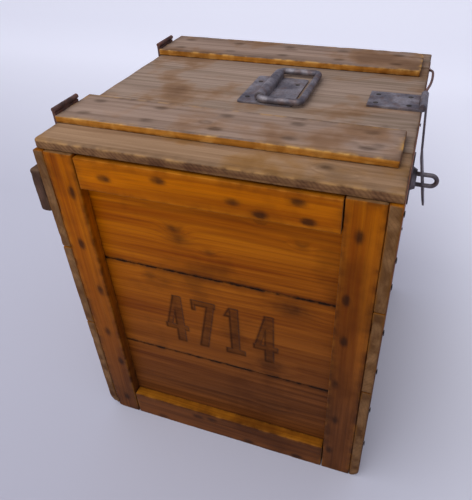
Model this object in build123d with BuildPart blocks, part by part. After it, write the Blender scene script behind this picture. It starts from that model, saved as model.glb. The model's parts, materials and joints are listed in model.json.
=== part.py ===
from build123d import *
from dataclasses import dataclass
from math import cos, radians, sin, sqrt, tan
import os

# Wooden egg crate with a hinged lid.
# Origin: middle of the crate's underside. X runs from the hinge side to the hasp side,
# Y runs from the front to the back, Z is up. All sizes are in millimetres.

# Overall size of the box
BOX_WIDTH = 330.0
BOX_DEPTH = 340.0
BOX_HEIGHT = 380.0

# Boards of the box
SIDE_THICKNESS = 11.0
STILE_THICKNESS = 12.0
PANEL_THICKNESS = 10.0
FLOOR_THICKNESS = 11.0
HINGE_STILE_WIDTH = 30.5
HASP_STILE_WIDTH = 32.5
TOP_RAIL_HEIGHT = 33.0
TOP_RAIL_DROP = 2.0
BOTTOM_RAIL_HEIGHT = 38.0
RAIL_END_GAP = 1.0
PANEL_SEAM_SHARES = (0.337, 0.668)
SIDE_SEAM_SHARES = (0.413, 0.705)
SEAM_GAP = 0.6
BOARD_WEAR = 0.9
FOOT_ROUNDING = 20.0
FOOT_CHAMFER_WIDTH = 8.0
FOOT_CHAMFER_HEIGHT = 12.0

# Carrying cleat on the hinge side
CLEAT_THICKNESS = 12.5
CLEAT_HEIGHT = 48.0
CLEAT_DROP = 22.0

# Lid
LID_THICKNESS = 9.0
LID_SETBACK = 2.5
LID_SHORT_END = 0.5
LID_WEAR = 1.4
LID_CORNER = 7.0
BATTEN_THICKNESS = 7.2
FRONT_BATTEN_WIDTH = 58.5
REAR_BATTEN_WIDTH = 65.0
FRONT_BATTEN_INSET = 39.0
REAR_BATTEN_INSET = 24.5
BATTEN_SHORT_END = 8.5
BATTEN_CORNER = 12.0

# Numerals cut into the middle board of the front
NUMERALS = "4714"
NUMERAL_HEIGHT = 68.0
NUMERAL_PITCH = 34.0
NUMERAL_WIDTH = 26.0
NUMERAL_STEM = 9.0
NUMERAL_BAR = 6.5
NUMERAL_DEPTH = 0.8
NUMERAL_LIFT = 23.0

# Nails
NAIL_HEAD_RADIUS = 2.8
NAIL_HEAD_THICKNESS = 0.9
NAIL_RADIUS = 1.2
NAIL_CLEARANCE = 0.1
NAIL_SINK = 0.3
FRAME_NAIL_LENGTH = 19.0
SIDE_NAIL_LENGTH = 22.0
SIDE_NAIL_PROUD = 1.2
FLOOR_NAIL_LENGTH = 42.0
CLEAT_NAIL_LENGTH = 21.0
BATTEN_NAIL_LENGTH = 14.0

# Flat-headed screws
SCREW_HEAD_RADIUS = 2.6
SCREW_RADIUS = 1.3
SCREW_LENGTH = 8.0

# Hinges
HINGE_LENGTH = 37.5
HINGE_SHEET = 1.2
HINGE_PIN_RADIUS = 1.1
HINGE_GAP = 0.4
HINGE_AXIS_LIFT = 4.6
HINGE_INSET = 2.0
HINGE_FOOT_GAP = 0.6
KNUCKLE_GAP = 0.3
PIN_CLEARANCE = 0.05

# Hasp and staple
HASP_OFFSET = 4.0
HASP_WIDTH = 38.0
HASP_LEAF_LENGTH = 53.0
HASP_SHEET = 2.0
HASP_PIN_RADIUS = 1.6
STRAP_WIDTH = 19.0
STRAP_HANG = 4.1
STRAP_BEND = 6.2
STRAP_BEND_DROP = 57.0
STRAP_LENGTH = 119.0
STRAP_SLOT_WIDTH = 8.4
STRAP_SLOT_BELOW = 2.4
STRAP_SLOT_ABOVE = 1.8
STRAP_TIP_TAPER = 14.0
STRAP_TIP_HALF = 4.0
STRAP_TIP_ROUND = 1.2
HASP_SCREW_FAR = 8.0
HASP_SCREW_NEAR = 13.0
HASP_SCREW_SPREAD = 11.0
STAPLE_DROP = 74.5
STAPLE_WIRE_RADIUS = 2.4
STAPLE_ARM_SPACING = 13.0
STAPLE_REACH = 29.5
STAPLE_ROOT = 7.0
STAPLE_PLATE_WIDTH = 40.0
STAPLE_PLATE_HEIGHT = 46.0
STAPLE_PLATE_SHEET = 1.4
STAPLE_BOSS_RADIUS = 13.0
STAPLE_BOSS_HEIGHT = 4.6
STAPLE_BOSS_TAPER = 2.5
STAPLE_SCREW_MARGIN = 5.5

# Lifting handle
HANDLE_SHEET = 1.6
HANDLE_PLATE_LENGTH = 76.0
HANDLE_PLATE_WIDTH = 57.0
HANDLE_PLATE_X = 13.0
HANDLE_PLATE_Y = 0.0
HANDLE_SLEEVE_MARGIN = 6.5
HANDLE_SCREW_LEFT = 7.0
HANDLE_SCREW_RIGHT = 8.0
HANDLE_SCREW_FRONT = 24.0
HANDLE_SCREW_BACK = 20.0
BAIL_RADIUS = 3.5
BAIL_LENGTH = 85.0
BAIL_REACH = 43.5
BAIL_AXIS_X = 7.3
BAIL_Y = 6.4
BAIL_CORNER = 6.0
BAIL_LIFT = 0.3
SLEEVE_CLEARANCE = 0.35

# Keeper wire along the hasp side of the lid
KEEPER_RADIUS = 0.8
KEEPER_BOW = 5.0
KEEPER_CORNER = 3.0
KEEPER_DEPTH = 5.0
KEEPER_SEAM_OFFSET = 6.0
KEEPER_RUN = 40.0
KEEPER_RISE = 4.0
KEEPER_LEAD = 20.0
KEEPER_END_GAP = 1.0

# Places worked out from the sizes above
HALF_WIDTH = BOX_WIDTH / 2
HALF_DEPTH = BOX_DEPTH / 2
INNER_X = HALF_WIDTH - SIDE_THICKNESS
PANEL_FACE_Y = HALF_DEPTH - STILE_THICKNESS
INNER_Y = PANEL_FACE_Y - PANEL_THICKNESS
PANEL_SEAMS = tuple(share * BOX_HEIGHT for share in PANEL_SEAM_SHARES)
SIDE_SEAMS = tuple(share * BOX_HEIGHT for share in SIDE_SEAM_SHARES)
CLEAT_TOP = BOX_HEIGHT - CLEAT_DROP
STAPLE_HEIGHT = BOX_HEIGHT - STAPLE_DROP
HINGE_STILE_EDGE = -INNER_X + HINGE_STILE_WIDTH
HASP_STILE_EDGE = INNER_X - HASP_STILE_WIDTH
HINGE_STILE_MIDDLE = -INNER_X + HINGE_STILE_WIDTH / 2
HASP_STILE_MIDDLE = INNER_X - HASP_STILE_WIDTH / 2
RAIL_TOP = BOX_HEIGHT - TOP_RAIL_DROP
LID_TOP = BOX_HEIGHT + LID_THICKNESS
BATTEN_TOP = LID_TOP + BATTEN_THICKNESS
LID_FRONT = -HALF_DEPTH + LID_SETBACK
LID_BACK = HALF_DEPTH - LID_SETBACK
LID_RIGHT = HALF_WIDTH - LID_SHORT_END
FRONT_BATTEN = (-HALF_DEPTH + FRONT_BATTEN_INSET,
                -HALF_DEPTH + FRONT_BATTEN_INSET + FRONT_BATTEN_WIDTH)
REAR_BATTEN = (HALF_DEPTH - REAR_BATTEN_INSET - REAR_BATTEN_WIDTH,
               HALF_DEPTH - REAR_BATTEN_INSET)
FRONT_LID_SEAM = sum(FRONT_BATTEN) / 2
REAR_LID_SEAM = sum(REAR_BATTEN) / 2
HINGE_AXIS_X = -HALF_WIDTH - HINGE_SHEET - HINGE_GAP / 2 + 0.3
HINGE_AXIS_Z = BATTEN_TOP + HINGE_AXIS_LIFT
HINGE_KNUCKLE_RADIUS = HINGE_PIN_RADIUS + PIN_CLEARANCE + HINGE_SHEET
FRONT_HINGE_Y = FRONT_BATTEN[0] + HINGE_INSET
REAR_HINGE_Y = REAR_BATTEN[0] + HINGE_INSET
HASP_BORE_RADIUS = HASP_PIN_RADIUS + PIN_CLEARANCE
HASP_KNUCKLE_RADIUS = HASP_BORE_RADIUS + HASP_SHEET
HASP_AXIS_X = HALF_WIDTH
HASP_AXIS_Z = LID_TOP + HASP_KNUCKLE_RADIUS
HASP_FRONT = HASP_OFFSET - HASP_WIDTH / 2
HASP_BACK = HASP_OFFSET + HASP_WIDTH / 2
PLATE_TOP = LID_TOP + HANDLE_SHEET
BAIL_AXIS_Z = PLATE_TOP + BAIL_LIFT + BAIL_RADIUS
SLEEVE_BORE = BAIL_RADIUS + SLEEVE_CLEARANCE

# Nails along a stile: (distance from its middle line, share of the box's height)
HINGE_STILE_NAILS = ((5.8, 0.892), (-0.3, 0.729), (6.8, 0.566), (0.8, 0.389), (7.8, 0.258),
                     (1.8, 0.068))
HASP_STILE_NAILS = ((-2.8, 0.911), (-7.8, 0.726), (-5.8, 0.587), (-9.8, 0.416), (-5.8, 0.261),
                    (-8.8, 0.103))
# Nails along a rail: (share of half the box's width, share of the rail's height)
TOP_RAIL_NAILS = ((-0.57, 0.48), (-0.236, 0.7), (0.176, 0.42), (0.515, 0.73), (0.57, 0.21),
                  (0.321, 0.18))
BOTTOM_RAIL_NAILS = ((-0.218, 0.71), (-0.103, 0.76))
# Nails into the floor's edge: shares of half the box's width
FLOOR_NAIL_SHARES = (-0.527, 0.182, 0.552)
# Nails down each end of a side, as shares of the box's height
SIDE_NAIL_SHARES = (0.974, 0.855, 0.779, 0.632, 0.489, 0.326, 0.163)
# Nails along the cleat and the battens, as shares of half the box's depth and width
CLEAT_NAIL_SHARES = (-0.88, -0.32, 0.32, 0.88)
BATTEN_NAIL_SHARES = (-0.86, -0.45, -0.036, 0.376, 0.776)

os.makedirs("parts", exist_ok=True)


@dataclass(frozen=True)
class Nail:
    """One nail: the point on the wood where its head's top sits, and the way it goes in."""

    point: tuple
    into: tuple
    length: float
    head: float = NAIL_HEAD_RADIUS

    def plane(self):
        return Plane(origin=self.point, z_dir=self.into)


def save(piece, name):
    """Label a finished piece and write it as one STEP file."""
    piece.part.label = name
    export_step(piece.part, f"parts/{name}.step")


def board(x, y, z, wear, nails=(), screws=()):
    """A plain board between the given limits, with worn edges and its nail holes."""
    with BuildPart() as piece:
        with BuildSketch(Plane.XY.offset(z[0])):
            with Locations(((x[0] + x[1]) / 2, (y[0] + y[1]) / 2)):
                Rectangle(x[1] - x[0], y[1] - y[0])
        extrude(amount=z[1] - z[0])
        fillet(piece.edges(), wear)
        clear_nails(nails)
        clear_screws(screws)
    return piece


def clear_nails(nails):
    """Cut the holes for a group of nails in the part being built."""
    for nail in nails:
        with Locations(nail.plane()):
            Cylinder(NAIL_RADIUS + NAIL_CLEARANCE, nail.length + NAIL_CLEARANCE,
                     align=(Align.CENTER, Align.CENTER, Align.MIN), mode=Mode.SUBTRACT)
        with Locations(nail.plane().offset(-NAIL_HEAD_THICKNESS)):
            Cylinder(nail.head + NAIL_CLEARANCE, 2 * NAIL_HEAD_THICKNESS + NAIL_CLEARANCE,
                     align=(Align.CENTER, Align.CENTER, Align.MIN), mode=Mode.SUBTRACT)


def nail_group(nails):
    """Every nail of a group, each a separate solid with a flat head and a point."""
    with BuildPart() as group:
        for nail in nails:
            shank = nail.length - 2 * NAIL_RADIUS
            with Locations(nail.plane()):
                Cylinder(nail.head, NAIL_HEAD_THICKNESS,
                         align=(Align.CENTER, Align.CENTER, Align.MIN))
                Cylinder(NAIL_RADIUS, shank, align=(Align.CENTER, Align.CENTER, Align.MIN))
            with Locations(nail.plane().offset(shank)):
                Cone(NAIL_RADIUS, NAIL_RADIUS / 4, 2 * NAIL_RADIUS,
                     align=(Align.CENTER, Align.CENTER, Align.MIN))
    return group


def clear_screws(screws):
    """Cut the countersunk holes for a group of screws in the part being built."""
    for plane in screws:
        with Locations(plane):
            Cylinder(SCREW_RADIUS + NAIL_CLEARANCE, SCREW_LENGTH + NAIL_CLEARANCE,
                     align=(Align.CENTER, Align.CENTER, Align.MIN), mode=Mode.SUBTRACT)
            Cone(SCREW_HEAD_RADIUS + NAIL_CLEARANCE, SCREW_RADIUS + NAIL_CLEARANCE,
                 SCREW_HEAD_RADIUS - SCREW_RADIUS, align=(Align.CENTER, Align.CENTER, Align.MIN),
                 mode=Mode.SUBTRACT)


def screw_group(screws):
    """Every screw of a group: a countersunk slotted head and a straight shank."""
    with BuildPart() as group:
        for plane in screws:
            with Locations(plane):
                Cylinder(SCREW_RADIUS, SCREW_LENGTH, align=(Align.CENTER, Align.CENTER, Align.MIN))
                Cone(SCREW_HEAD_RADIUS, SCREW_RADIUS, SCREW_HEAD_RADIUS - SCREW_RADIUS,
                     align=(Align.CENTER, Align.CENTER, Align.MIN))
                Box(2 * SCREW_HEAD_RADIUS, 0.7, 1.0, mode=Mode.SUBTRACT)
    return group


def round_corner(plane, across, up, radius, depth):
    """Cut the corner at (across, up) on a plane down to a quarter circle, in the part being built."""
    middle = radius * (1 - sqrt(0.5))
    with BuildSketch(plane) as worn_off:
        with BuildLine():
            Line((across, up + radius), (across, up))
            Line((across, up), (across + radius, up))
            ThreePointArc((across + radius, up), (across + middle, up + middle),
                          (across, up + radius))
        make_face()
    extrude(worn_off.sketch, amount=depth, mode=Mode.SUBTRACT)


def round_foot():
    """Round off the box's lower hinge-side corner in the part being built."""
    back = Plane(origin=(0, HALF_DEPTH, 0), x_dir=(1, 0, 0), z_dir=(0, -1, 0))
    round_corner(back, -HALF_WIDTH, 0, FOOT_ROUNDING, BOX_DEPTH)


def end_nails(outward, places, length):
    """Nails driven into the front (outward -1) or the back (outward +1) at (X, Z) places."""
    face = outward * (HALF_DEPTH - NAIL_SINK)
    return [Nail((x, face, z), (0, -outward, 0), length) for x, z in places]


def stile_places(middle, nails):
    """The (X, Z) places of the nails along a stile."""
    return [(middle + shift, share * BOX_HEIGHT) for shift, share in nails]


def rail_places(foot, height, nails):
    """The (X, Z) places of the nails along a rail."""
    return [(across * HALF_WIDTH, foot + up * height) for across, up in nails]


def side_nails(outward):
    """Nails through a side board into the edges of both end frames, clear of the cleat."""
    face = outward * (HALF_WIDTH + SIDE_NAIL_PROUD)
    row = HALF_DEPTH - STILE_THICKNESS / 2
    margin = NAIL_HEAD_RADIUS + 1
    covered = (CLEAT_TOP - CLEAT_HEIGHT - margin, CLEAT_TOP + margin) if outward < 0 else (0, 0)
    return [Nail((face, y, z), (-outward, 0, 0), SIDE_NAIL_LENGTH + SIDE_NAIL_PROUD)
            for y in (-row, row) for z in (share * BOX_HEIGHT for share in SIDE_NAIL_SHARES)
            if not covered[0] < z < covered[1]]


def between(nails, low, high):
    """The nails of a list whose heights lie between two levels."""
    return [nail for nail in nails if low < nail.point[2] < high]


# Numerals: outlines of straight strokes, each in a cell that starts at (0, 0)
def numeral_one():
    """A one: a heavy stem with a foot bar and a short flag."""
    middle = NUMERAL_WIDTH / 2
    half = NUMERAL_STEM / 2
    with BuildSketch() as figure:
        with Locations((middle, NUMERAL_HEIGHT / 2)):
            Rectangle(NUMERAL_STEM, NUMERAL_HEIGHT)
        with Locations((middle, NUMERAL_BAR / 2)):
            Rectangle(NUMERAL_WIDTH * 0.8, NUMERAL_BAR)
        with BuildLine():
            Polyline((middle - half, NUMERAL_HEIGHT), (middle - half - 6, NUMERAL_HEIGHT - 12),
                     (middle - half, NUMERAL_HEIGHT - 12), close=True)
        make_face()
    return figure.sketch


def numeral_four():
    """A four: a heavy stem, a cross bar and a slanted stroke."""
    stem = NUMERAL_WIDTH - NUMERAL_STEM
    bar = NUMERAL_HEIGHT * 0.26
    with BuildSketch() as figure:
        with Locations((stem, NUMERAL_HEIGHT / 2)):
            Rectangle(NUMERAL_STEM, NUMERAL_HEIGHT)
        with Locations((NUMERAL_WIDTH / 2, bar + NUMERAL_BAR / 2)):
            Rectangle(NUMERAL_WIDTH, NUMERAL_BAR)
        with BuildLine():
            Polyline((0, bar), (stem - 4, NUMERAL_HEIGHT), (stem, NUMERAL_HEIGHT),
                     (stem, NUMERAL_HEIGHT - 6), (5.5, bar), close=True)
        make_face()
    return figure.sketch


def numeral_seven():
    """A seven: a top bar with a hooked end and a heavy slanted stroke."""
    top = NUMERAL_HEIGHT
    with BuildSketch() as figure:
        with Locations((NUMERAL_WIDTH / 2, top - NUMERAL_BAR / 2)):
            Rectangle(NUMERAL_WIDTH, NUMERAL_BAR)
        with Locations((NUMERAL_BAR / 4, top - 7)):
            Rectangle(NUMERAL_BAR / 2, 14)
        with BuildLine():
            Polyline((NUMERAL_WIDTH, top), (NUMERAL_WIDTH - NUMERAL_STEM, top - NUMERAL_BAR),
                     (5, 0), (5 + NUMERAL_STEM, 0), close=True)
        make_face()
    return figure.sketch


NUMERAL_SHAPES = {"1": numeral_one, "4": numeral_four, "7": numeral_seven}


def numeral_places():
    """Each numeral with the X of its cell's left edge, in reading order."""
    total = NUMERAL_PITCH * (len(NUMERALS) - 1) + NUMERAL_WIDTH
    return [(digit, -total / 2 + step * NUMERAL_PITCH) for step, digit in enumerate(NUMERALS)]


# Front and back: two stiles, two rails and three panel boards each
def end_frame(outward, name):
    """Build one end of the box. The front has outward -1 and the back +1."""
    stile_y = sorted((outward * HALF_DEPTH, outward * PANEL_FACE_Y))
    panel_y = sorted((outward * PANEL_FACE_Y, outward * INNER_Y))
    hinge_nails = end_nails(outward, stile_places(HINGE_STILE_MIDDLE, HINGE_STILE_NAILS),
                            FRAME_NAIL_LENGTH)
    hasp_nails = end_nails(outward, stile_places(HASP_STILE_MIDDLE, HASP_STILE_NAILS),
                           FRAME_NAIL_LENGTH)
    top_nails = end_nails(outward, rail_places(RAIL_TOP - TOP_RAIL_HEIGHT, TOP_RAIL_HEIGHT,
                                               TOP_RAIL_NAILS), FRAME_NAIL_LENGTH)
    bottom_nails = end_nails(outward, rail_places(0, BOTTOM_RAIL_HEIGHT, BOTTOM_RAIL_NAILS),
                             FRAME_NAIL_LENGTH)
    floor_places = [(share * HALF_WIDTH, FLOOR_THICKNESS / 2) for share in FLOOR_NAIL_SHARES]
    floor_nails = end_nails(outward, floor_places, FLOOR_NAIL_LENGTH)
    frame_nails = hinge_nails + hasp_nails + top_nails + bottom_nails

    left_edge = [nail for nail in side_nails(-1) if nail.point[1] * outward > 0]
    right_edge = [nail for nail in side_nails(1) if nail.point[1] * outward > 0]
    with BuildPart() as hinge_stile:
        add(board((-INNER_X, HINGE_STILE_EDGE), stile_y, (0, BOX_HEIGHT), BOARD_WEAR,
                  hinge_nails + left_edge).part)
        round_foot()
    save(hinge_stile, f"{name}_stile_hinge_side")
    save(board((HASP_STILE_EDGE, INNER_X), stile_y, (0, BOX_HEIGHT), BOARD_WEAR,
               hasp_nails + right_edge), f"{name}_stile_hasp_side")

    rail_x = (HINGE_STILE_EDGE + RAIL_END_GAP, HASP_STILE_EDGE - RAIL_END_GAP)
    save(board(rail_x, stile_y, (RAIL_TOP - TOP_RAIL_HEIGHT, RAIL_TOP), BOARD_WEAR, top_nails),
         f"{name}_rail_top")
    save(board(rail_x, stile_y, (0, BOTTOM_RAIL_HEIGHT), BOARD_WEAR, bottom_nails + floor_nails),
         f"{name}_rail_bottom")

    levels = (0, *PANEL_SEAMS, RAIL_TOP)
    for place, low, high in zip(("low", "middle", "top"), levels, levels[1:]):
        base = low + (SEAM_GAP if low else 0)
        nails = between(frame_nails + floor_nails, low, high)
        panel = board((-INNER_X, INNER_X), panel_y, (base, high), BOARD_WEAR, nails)
        if place == "middle" and outward < 0:
            panel = cut_numerals(panel)
        save(panel, f"{name}_panel_{place}")

    save(nail_group(frame_nails), f"{name}_frame_nails")
    return floor_nails


def cut_numerals(panel):
    """Sink the numerals into the outer face of the front's middle board."""
    face = Plane(origin=(0, -PANEL_FACE_Y, 0), x_dir=(1, 0, 0), z_dir=(0, -1, 0))
    with BuildPart() as marked:
        add(panel.part)
        for digit, left in numeral_places():
            with BuildSketch(face):
                with Locations((left, PANEL_SEAMS[0] + NUMERAL_LIFT)):
                    add(NUMERAL_SHAPES[digit]())
            extrude(amount=-NUMERAL_DEPTH, mode=Mode.SUBTRACT)
    return marked


front_floor_nails = end_frame(-1, "front")
back_floor_nails = end_frame(1, "back")
all_floor_nails = front_floor_nails + back_floor_nails
save(nail_group(all_floor_nails), "floor_nails")


# Sides: three boards each, nailed to the edges of both end frames
plate_face = HALF_WIDTH + STAPLE_PLATE_SHEET
boss_face = plate_face + STAPLE_BOSS_HEIGHT
staple_screws = [Plane(origin=(plate_face, HASP_OFFSET + y, STAPLE_HEIGHT + z), z_dir=(-1, 0, 0))
                 for y in (-STAPLE_PLATE_WIDTH / 2 + STAPLE_SCREW_MARGIN,
                           STAPLE_PLATE_WIDTH / 2 - STAPLE_SCREW_MARGIN)
                 for z in (-STAPLE_PLATE_HEIGHT / 2 + STAPLE_SCREW_MARGIN,
                           STAPLE_PLATE_HEIGHT / 2 - STAPLE_SCREW_MARGIN)]
cleat_middle = CLEAT_TOP - CLEAT_HEIGHT / 2
cleat_face = -HALF_WIDTH - CLEAT_THICKNESS
cleat_nails = [Nail((cleat_face + NAIL_SINK, y, cleat_middle), (1, 0, 0), CLEAT_NAIL_LENGTH)
               for y in (share * HALF_DEPTH for share in CLEAT_NAIL_SHARES)]


def hinge_foot_screws(start):
    """The two screws that hold a hinge's outer leaf to the side board."""
    foot_face = -HALF_WIDTH - HINGE_SHEET
    height = (CLEAT_TOP + HINGE_FOOT_GAP + BOX_HEIGHT - 3) / 2
    return [Plane(origin=(foot_face, start + HINGE_LENGTH * share, height), z_dir=(1, 0, 0))
            for share in (0.22, 0.78)]


def hinge_lid_screws(start):
    """The two screws that hold a hinge's inner leaf to the edge of the lid."""
    face = -HALF_WIDTH - HINGE_SHEET
    height = BOX_HEIGHT + LID_THICKNESS / 2 + 0.4
    return [Plane(origin=(face, start + HINGE_LENGTH * share, height), z_dir=(1, 0, 0))
            for share in (0.2, 0.62)]


foot_screws = hinge_foot_screws(FRONT_HINGE_Y) + hinge_foot_screws(REAR_HINGE_Y)
lid_leaf_screws = hinge_lid_screws(FRONT_HINGE_Y) + hinge_lid_screws(REAR_HINGE_Y)


def staple_leg_holes():
    """Cut the two holes for the staple's legs in the part being built."""
    for step in (-0.5, 0.5):
        leg = Plane(origin=(boss_face, HASP_OFFSET, STAPLE_HEIGHT + step * STAPLE_ARM_SPACING),
                    z_dir=(-1, 0, 0))
        with Locations(leg):
            Cylinder(STAPLE_WIRE_RADIUS + PIN_CLEARANCE,
                     boss_face - HALF_WIDTH + STAPLE_ROOT + PIN_CLEARANCE,
                     align=(Align.CENTER, Align.CENTER, Align.MIN), mode=Mode.SUBTRACT)


def side_board(outward, place, low, high):
    """One board of a side wall, from front face to back face of the box."""
    base = low + (SEAM_GAP if low else 0)
    outer = outward * HALF_WIDTH
    inner = outward * INNER_X
    nails = between(side_nails(outward), low, high)
    if outward < 0:
        nails = nails + between(cleat_nails, low, high)
    with BuildPart() as piece:
        with BuildSketch(Plane.XY.offset(base)):
            with Locations(((outer + inner) / 2, 0)):
                Rectangle(SIDE_THICKNESS, BOX_DEPTH)
        extrude(amount=high - base)
        if place == "low":
            outer_face = piece.faces().sort_by(Axis.X)[0 if outward < 0 else -1]
            foot = outer_face.edges().sort_by(Axis.Z)[0]
            if outward < 0:
                round_foot()
            else:
                chamfer(foot, FOOT_CHAMFER_HEIGHT, FOOT_CHAMFER_WIDTH, reference=outer_face)
        level_edges = piece.edges().filter_by(Axis.Y).group_by(Axis.Z)[-1]
        fillet(level_edges, BOARD_WEAR)
        clear_nails(nails)
        if outward > 0 and place == "top":
            clear_screws(staple_screws)
            staple_leg_holes()
        if outward < 0 and place == "top":
            clear_screws(foot_screws)
    return piece


side_levels = (0, *SIDE_SEAMS, BOX_HEIGHT)
for outward, side in ((-1, "hinge"), (1, "hasp")):
    for place, low, high in zip(("low", "middle", "top"), side_levels, side_levels[1:]):
        save(side_board(outward, place, low, high), f"{side}_side_board_{place}")
save(nail_group(side_nails(-1) + side_nails(1)), "side_nails")


# Floor: three boards that run from the front panel to the back panel
floor_seams = (-INNER_X, -INNER_X / 3, INNER_X / 3, INNER_X)
for number, (start, end) in enumerate(zip(floor_seams, floor_seams[1:]), start=1):
    gap = SEAM_GAP if number > 1 else 0
    nails = [nail for nail in all_floor_nails if start < nail.point[0] < end]
    save(board((start + gap, end), (-INNER_Y, INNER_Y), (0, FLOOR_THICKNESS), BOARD_WEAR, nails),
         f"floor_board_{number}")


# Carrying cleat on the hinge side, rounded along its lower outer edge
with BuildPart() as cleat:
    with BuildSketch(Plane.XY.offset(CLEAT_TOP - CLEAT_HEIGHT)):
        with Locations((-HALF_WIDTH - CLEAT_THICKNESS / 2, 0)):
            Rectangle(CLEAT_THICKNESS, BOX_DEPTH)
    extrude(amount=CLEAT_HEIGHT)
    outer_edges = cleat.faces().sort_by(Axis.X)[0].edges()
    fillet(outer_edges.sort_by(Axis.Z)[0], 6)
    fillet(cleat.faces().sort_by(Axis.Z)[-1].edges().sort_by(Axis.X)[0], 2)
    clear_nails(cleat_nails)
save(cleat, "cleat")
save(nail_group(cleat_nails), "cleat_nails")


# Lid: three boards, joined under the two battens
hasp_screws = [Plane(origin=(x, HASP_OFFSET + y, LID_TOP + HASP_SHEET), z_dir=(0, 0, -1))
               for x in (HALF_WIDTH - HASP_LEAF_LENGTH + HASP_SCREW_FAR,
                         HALF_WIDTH - HASP_SCREW_NEAR)
               for y in (-HASP_SCREW_SPREAD, HASP_SCREW_SPREAD)]
handle_screws = [Plane(origin=(x, y, PLATE_TOP), z_dir=(0, 0, -1))
                 for x in (HANDLE_PLATE_X - HANDLE_PLATE_WIDTH / 2 + HANDLE_SCREW_LEFT,
                           HANDLE_PLATE_X + HANDLE_PLATE_WIDTH / 2 - HANDLE_SCREW_RIGHT)
                 for y in (HANDLE_PLATE_Y - HANDLE_SCREW_FRONT,
                           HANDLE_PLATE_Y + HANDLE_SCREW_BACK)]


def batten_nails(batten):
    """Two rows of nails along a batten, one into the lid board on each side of the seam."""
    quarter = (batten[1] - batten[0]) / 4
    return [Nail((share * HALF_WIDTH, row, BATTEN_TOP - NAIL_SINK), (0, 0, -1),
                 BATTEN_NAIL_LENGTH)
            for row in (batten[0] + quarter, batten[1] - quarter)
            for share in BATTEN_NAIL_SHARES]


front_batten_nails = batten_nails(FRONT_BATTEN)
rear_batten_nails = batten_nails(REAR_BATTEN)
all_batten_nails = front_batten_nails + rear_batten_nails
keeper_hole = (LID_RIGHT - KEEPER_DEPTH, REAR_LID_SEAM + KEEPER_SEAM_OFFSET,
               BOX_HEIGHT + LID_THICKNESS / 2)


def lid_board(start, end, nails, screws):
    """One lid board from the hinge edge to the hasp edge."""
    return board((-HALF_WIDTH, LID_RIGHT), (start, end), (BOX_HEIGHT, LID_TOP), LID_WEAR,
                 nails, screws)


def inside(spots, start, end):
    """The planes of a list whose Y lies between two limits."""
    return [spot for spot in spots if start < spot.origin.Y < end]


lid_limits = (LID_FRONT, FRONT_LID_SEAM, REAR_LID_SEAM, LID_BACK)
lid_screws = hasp_screws + handle_screws + lid_leaf_screws
for place, start, end in zip(("front", "middle", "rear"), lid_limits, lid_limits[1:]):
    first = start + (SEAM_GAP if place != "front" else 0)
    nails = [nail for nail in all_batten_nails if start < nail.point[1] < end]
    with BuildPart() as lid_piece:
        add(lid_board(first, end, nails, inside(lid_screws, start, end)).part)
        if place == "front":
            round_corner(Plane.XY.offset(BOX_HEIGHT), -HALF_WIDTH, LID_FRONT, LID_CORNER,
                         LID_THICKNESS)
        if place == "rear":
            with Locations(Plane(origin=keeper_hole, z_dir=(1, 0, 0))):
                Cylinder(KEEPER_RADIUS + PIN_CLEARANCE, 2 * KEEPER_DEPTH, mode=Mode.SUBTRACT,
                         align=(Align.CENTER, Align.CENTER, Align.MIN))
    save(lid_piece, f"lid_board_{place}")


def batten(limits, nails, corner):
    """One batten across the top of the lid, with its far hasp-side corner worn round."""
    with BuildPart() as piece:
        with BuildSketch(Plane.XY.offset(LID_TOP)):
            with Locations(((LID_RIGHT - BATTEN_SHORT_END - HALF_WIDTH) / 2,
                            sum(limits) / 2)):
                Rectangle(LID_RIGHT - BATTEN_SHORT_END + HALF_WIDTH, limits[1] - limits[0])
        extrude(amount=BATTEN_THICKNESS)
        if corner > 0:
            hasp_end = piece.edges().filter_by(Axis.Z).group_by(Axis.X)[-1]
            fillet(hasp_end.sort_by(Axis.Y)[-1], corner)
        fillet(piece.faces().sort_by(Axis.Z)[-1].edges(), LID_WEAR)
        clear_nails(nails)
    return piece


save(batten(FRONT_BATTEN, front_batten_nails, 0), "batten_front")
save(batten(REAR_BATTEN, rear_batten_nails, BATTEN_CORNER), "batten_rear")
save(nail_group(all_batten_nails), "batten_nails")


# Hinges: each has a lid leaf, a body leaf with a bend at the box's rim, and a pin
def knuckle_spans(start):
    """The three knuckles along a hinge: body, lid, body."""
    third = (HINGE_LENGTH - 2 * KNUCKLE_GAP) / 3
    return [(start + step * (third + KNUCKLE_GAP), start + step * (third + KNUCKLE_GAP) + third)
            for step in range(3)]


def add_knuckle(span, axis_x, axis_z, outer, bore):
    """Join one knuckle to the part being built and open its bore."""
    middle = (axis_x, (span[0] + span[1]) / 2, axis_z)
    with Locations(Plane(origin=middle, z_dir=(0, 1, 0))):
        Cylinder(outer, span[1] - span[0])
        Cylinder(bore, span[1] - span[0] + 1, mode=Mode.SUBTRACT)


def leaf_strip(outline, span):
    """Extrude a leaf's outline, drawn in X and Z, along a span of Y."""
    with BuildPart() as strip:
        with BuildSketch(Plane(origin=(0, span[1], 0), x_dir=(1, 0, 0), z_dir=(0, -1, 0))):
            with BuildLine():
                Polyline(*outline, close=True)
            make_face()
        extrude(amount=span[1] - span[0])
    return strip


leaf_head = HINGE_AXIS_Z - HINGE_KNUCKLE_RADIUS - 0.6
neck_top = HINGE_AXIS_Z - HINGE_PIN_RADIUS - PIN_CLEARANCE - 0.3
lid_leaf_x = (-HALF_WIDTH - HINGE_SHEET, -HALF_WIDTH)
body_leaf_x = (lid_leaf_x[0] - HINGE_GAP - HINGE_SHEET, lid_leaf_x[0] - HINGE_GAP)
leaf_foot = BOX_HEIGHT + HINGE_FOOT_GAP
bend_top = BOX_HEIGHT - 0.4
bend_foot = bend_top - 3.2
foot_end = CLEAT_TOP + HINGE_FOOT_GAP


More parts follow.
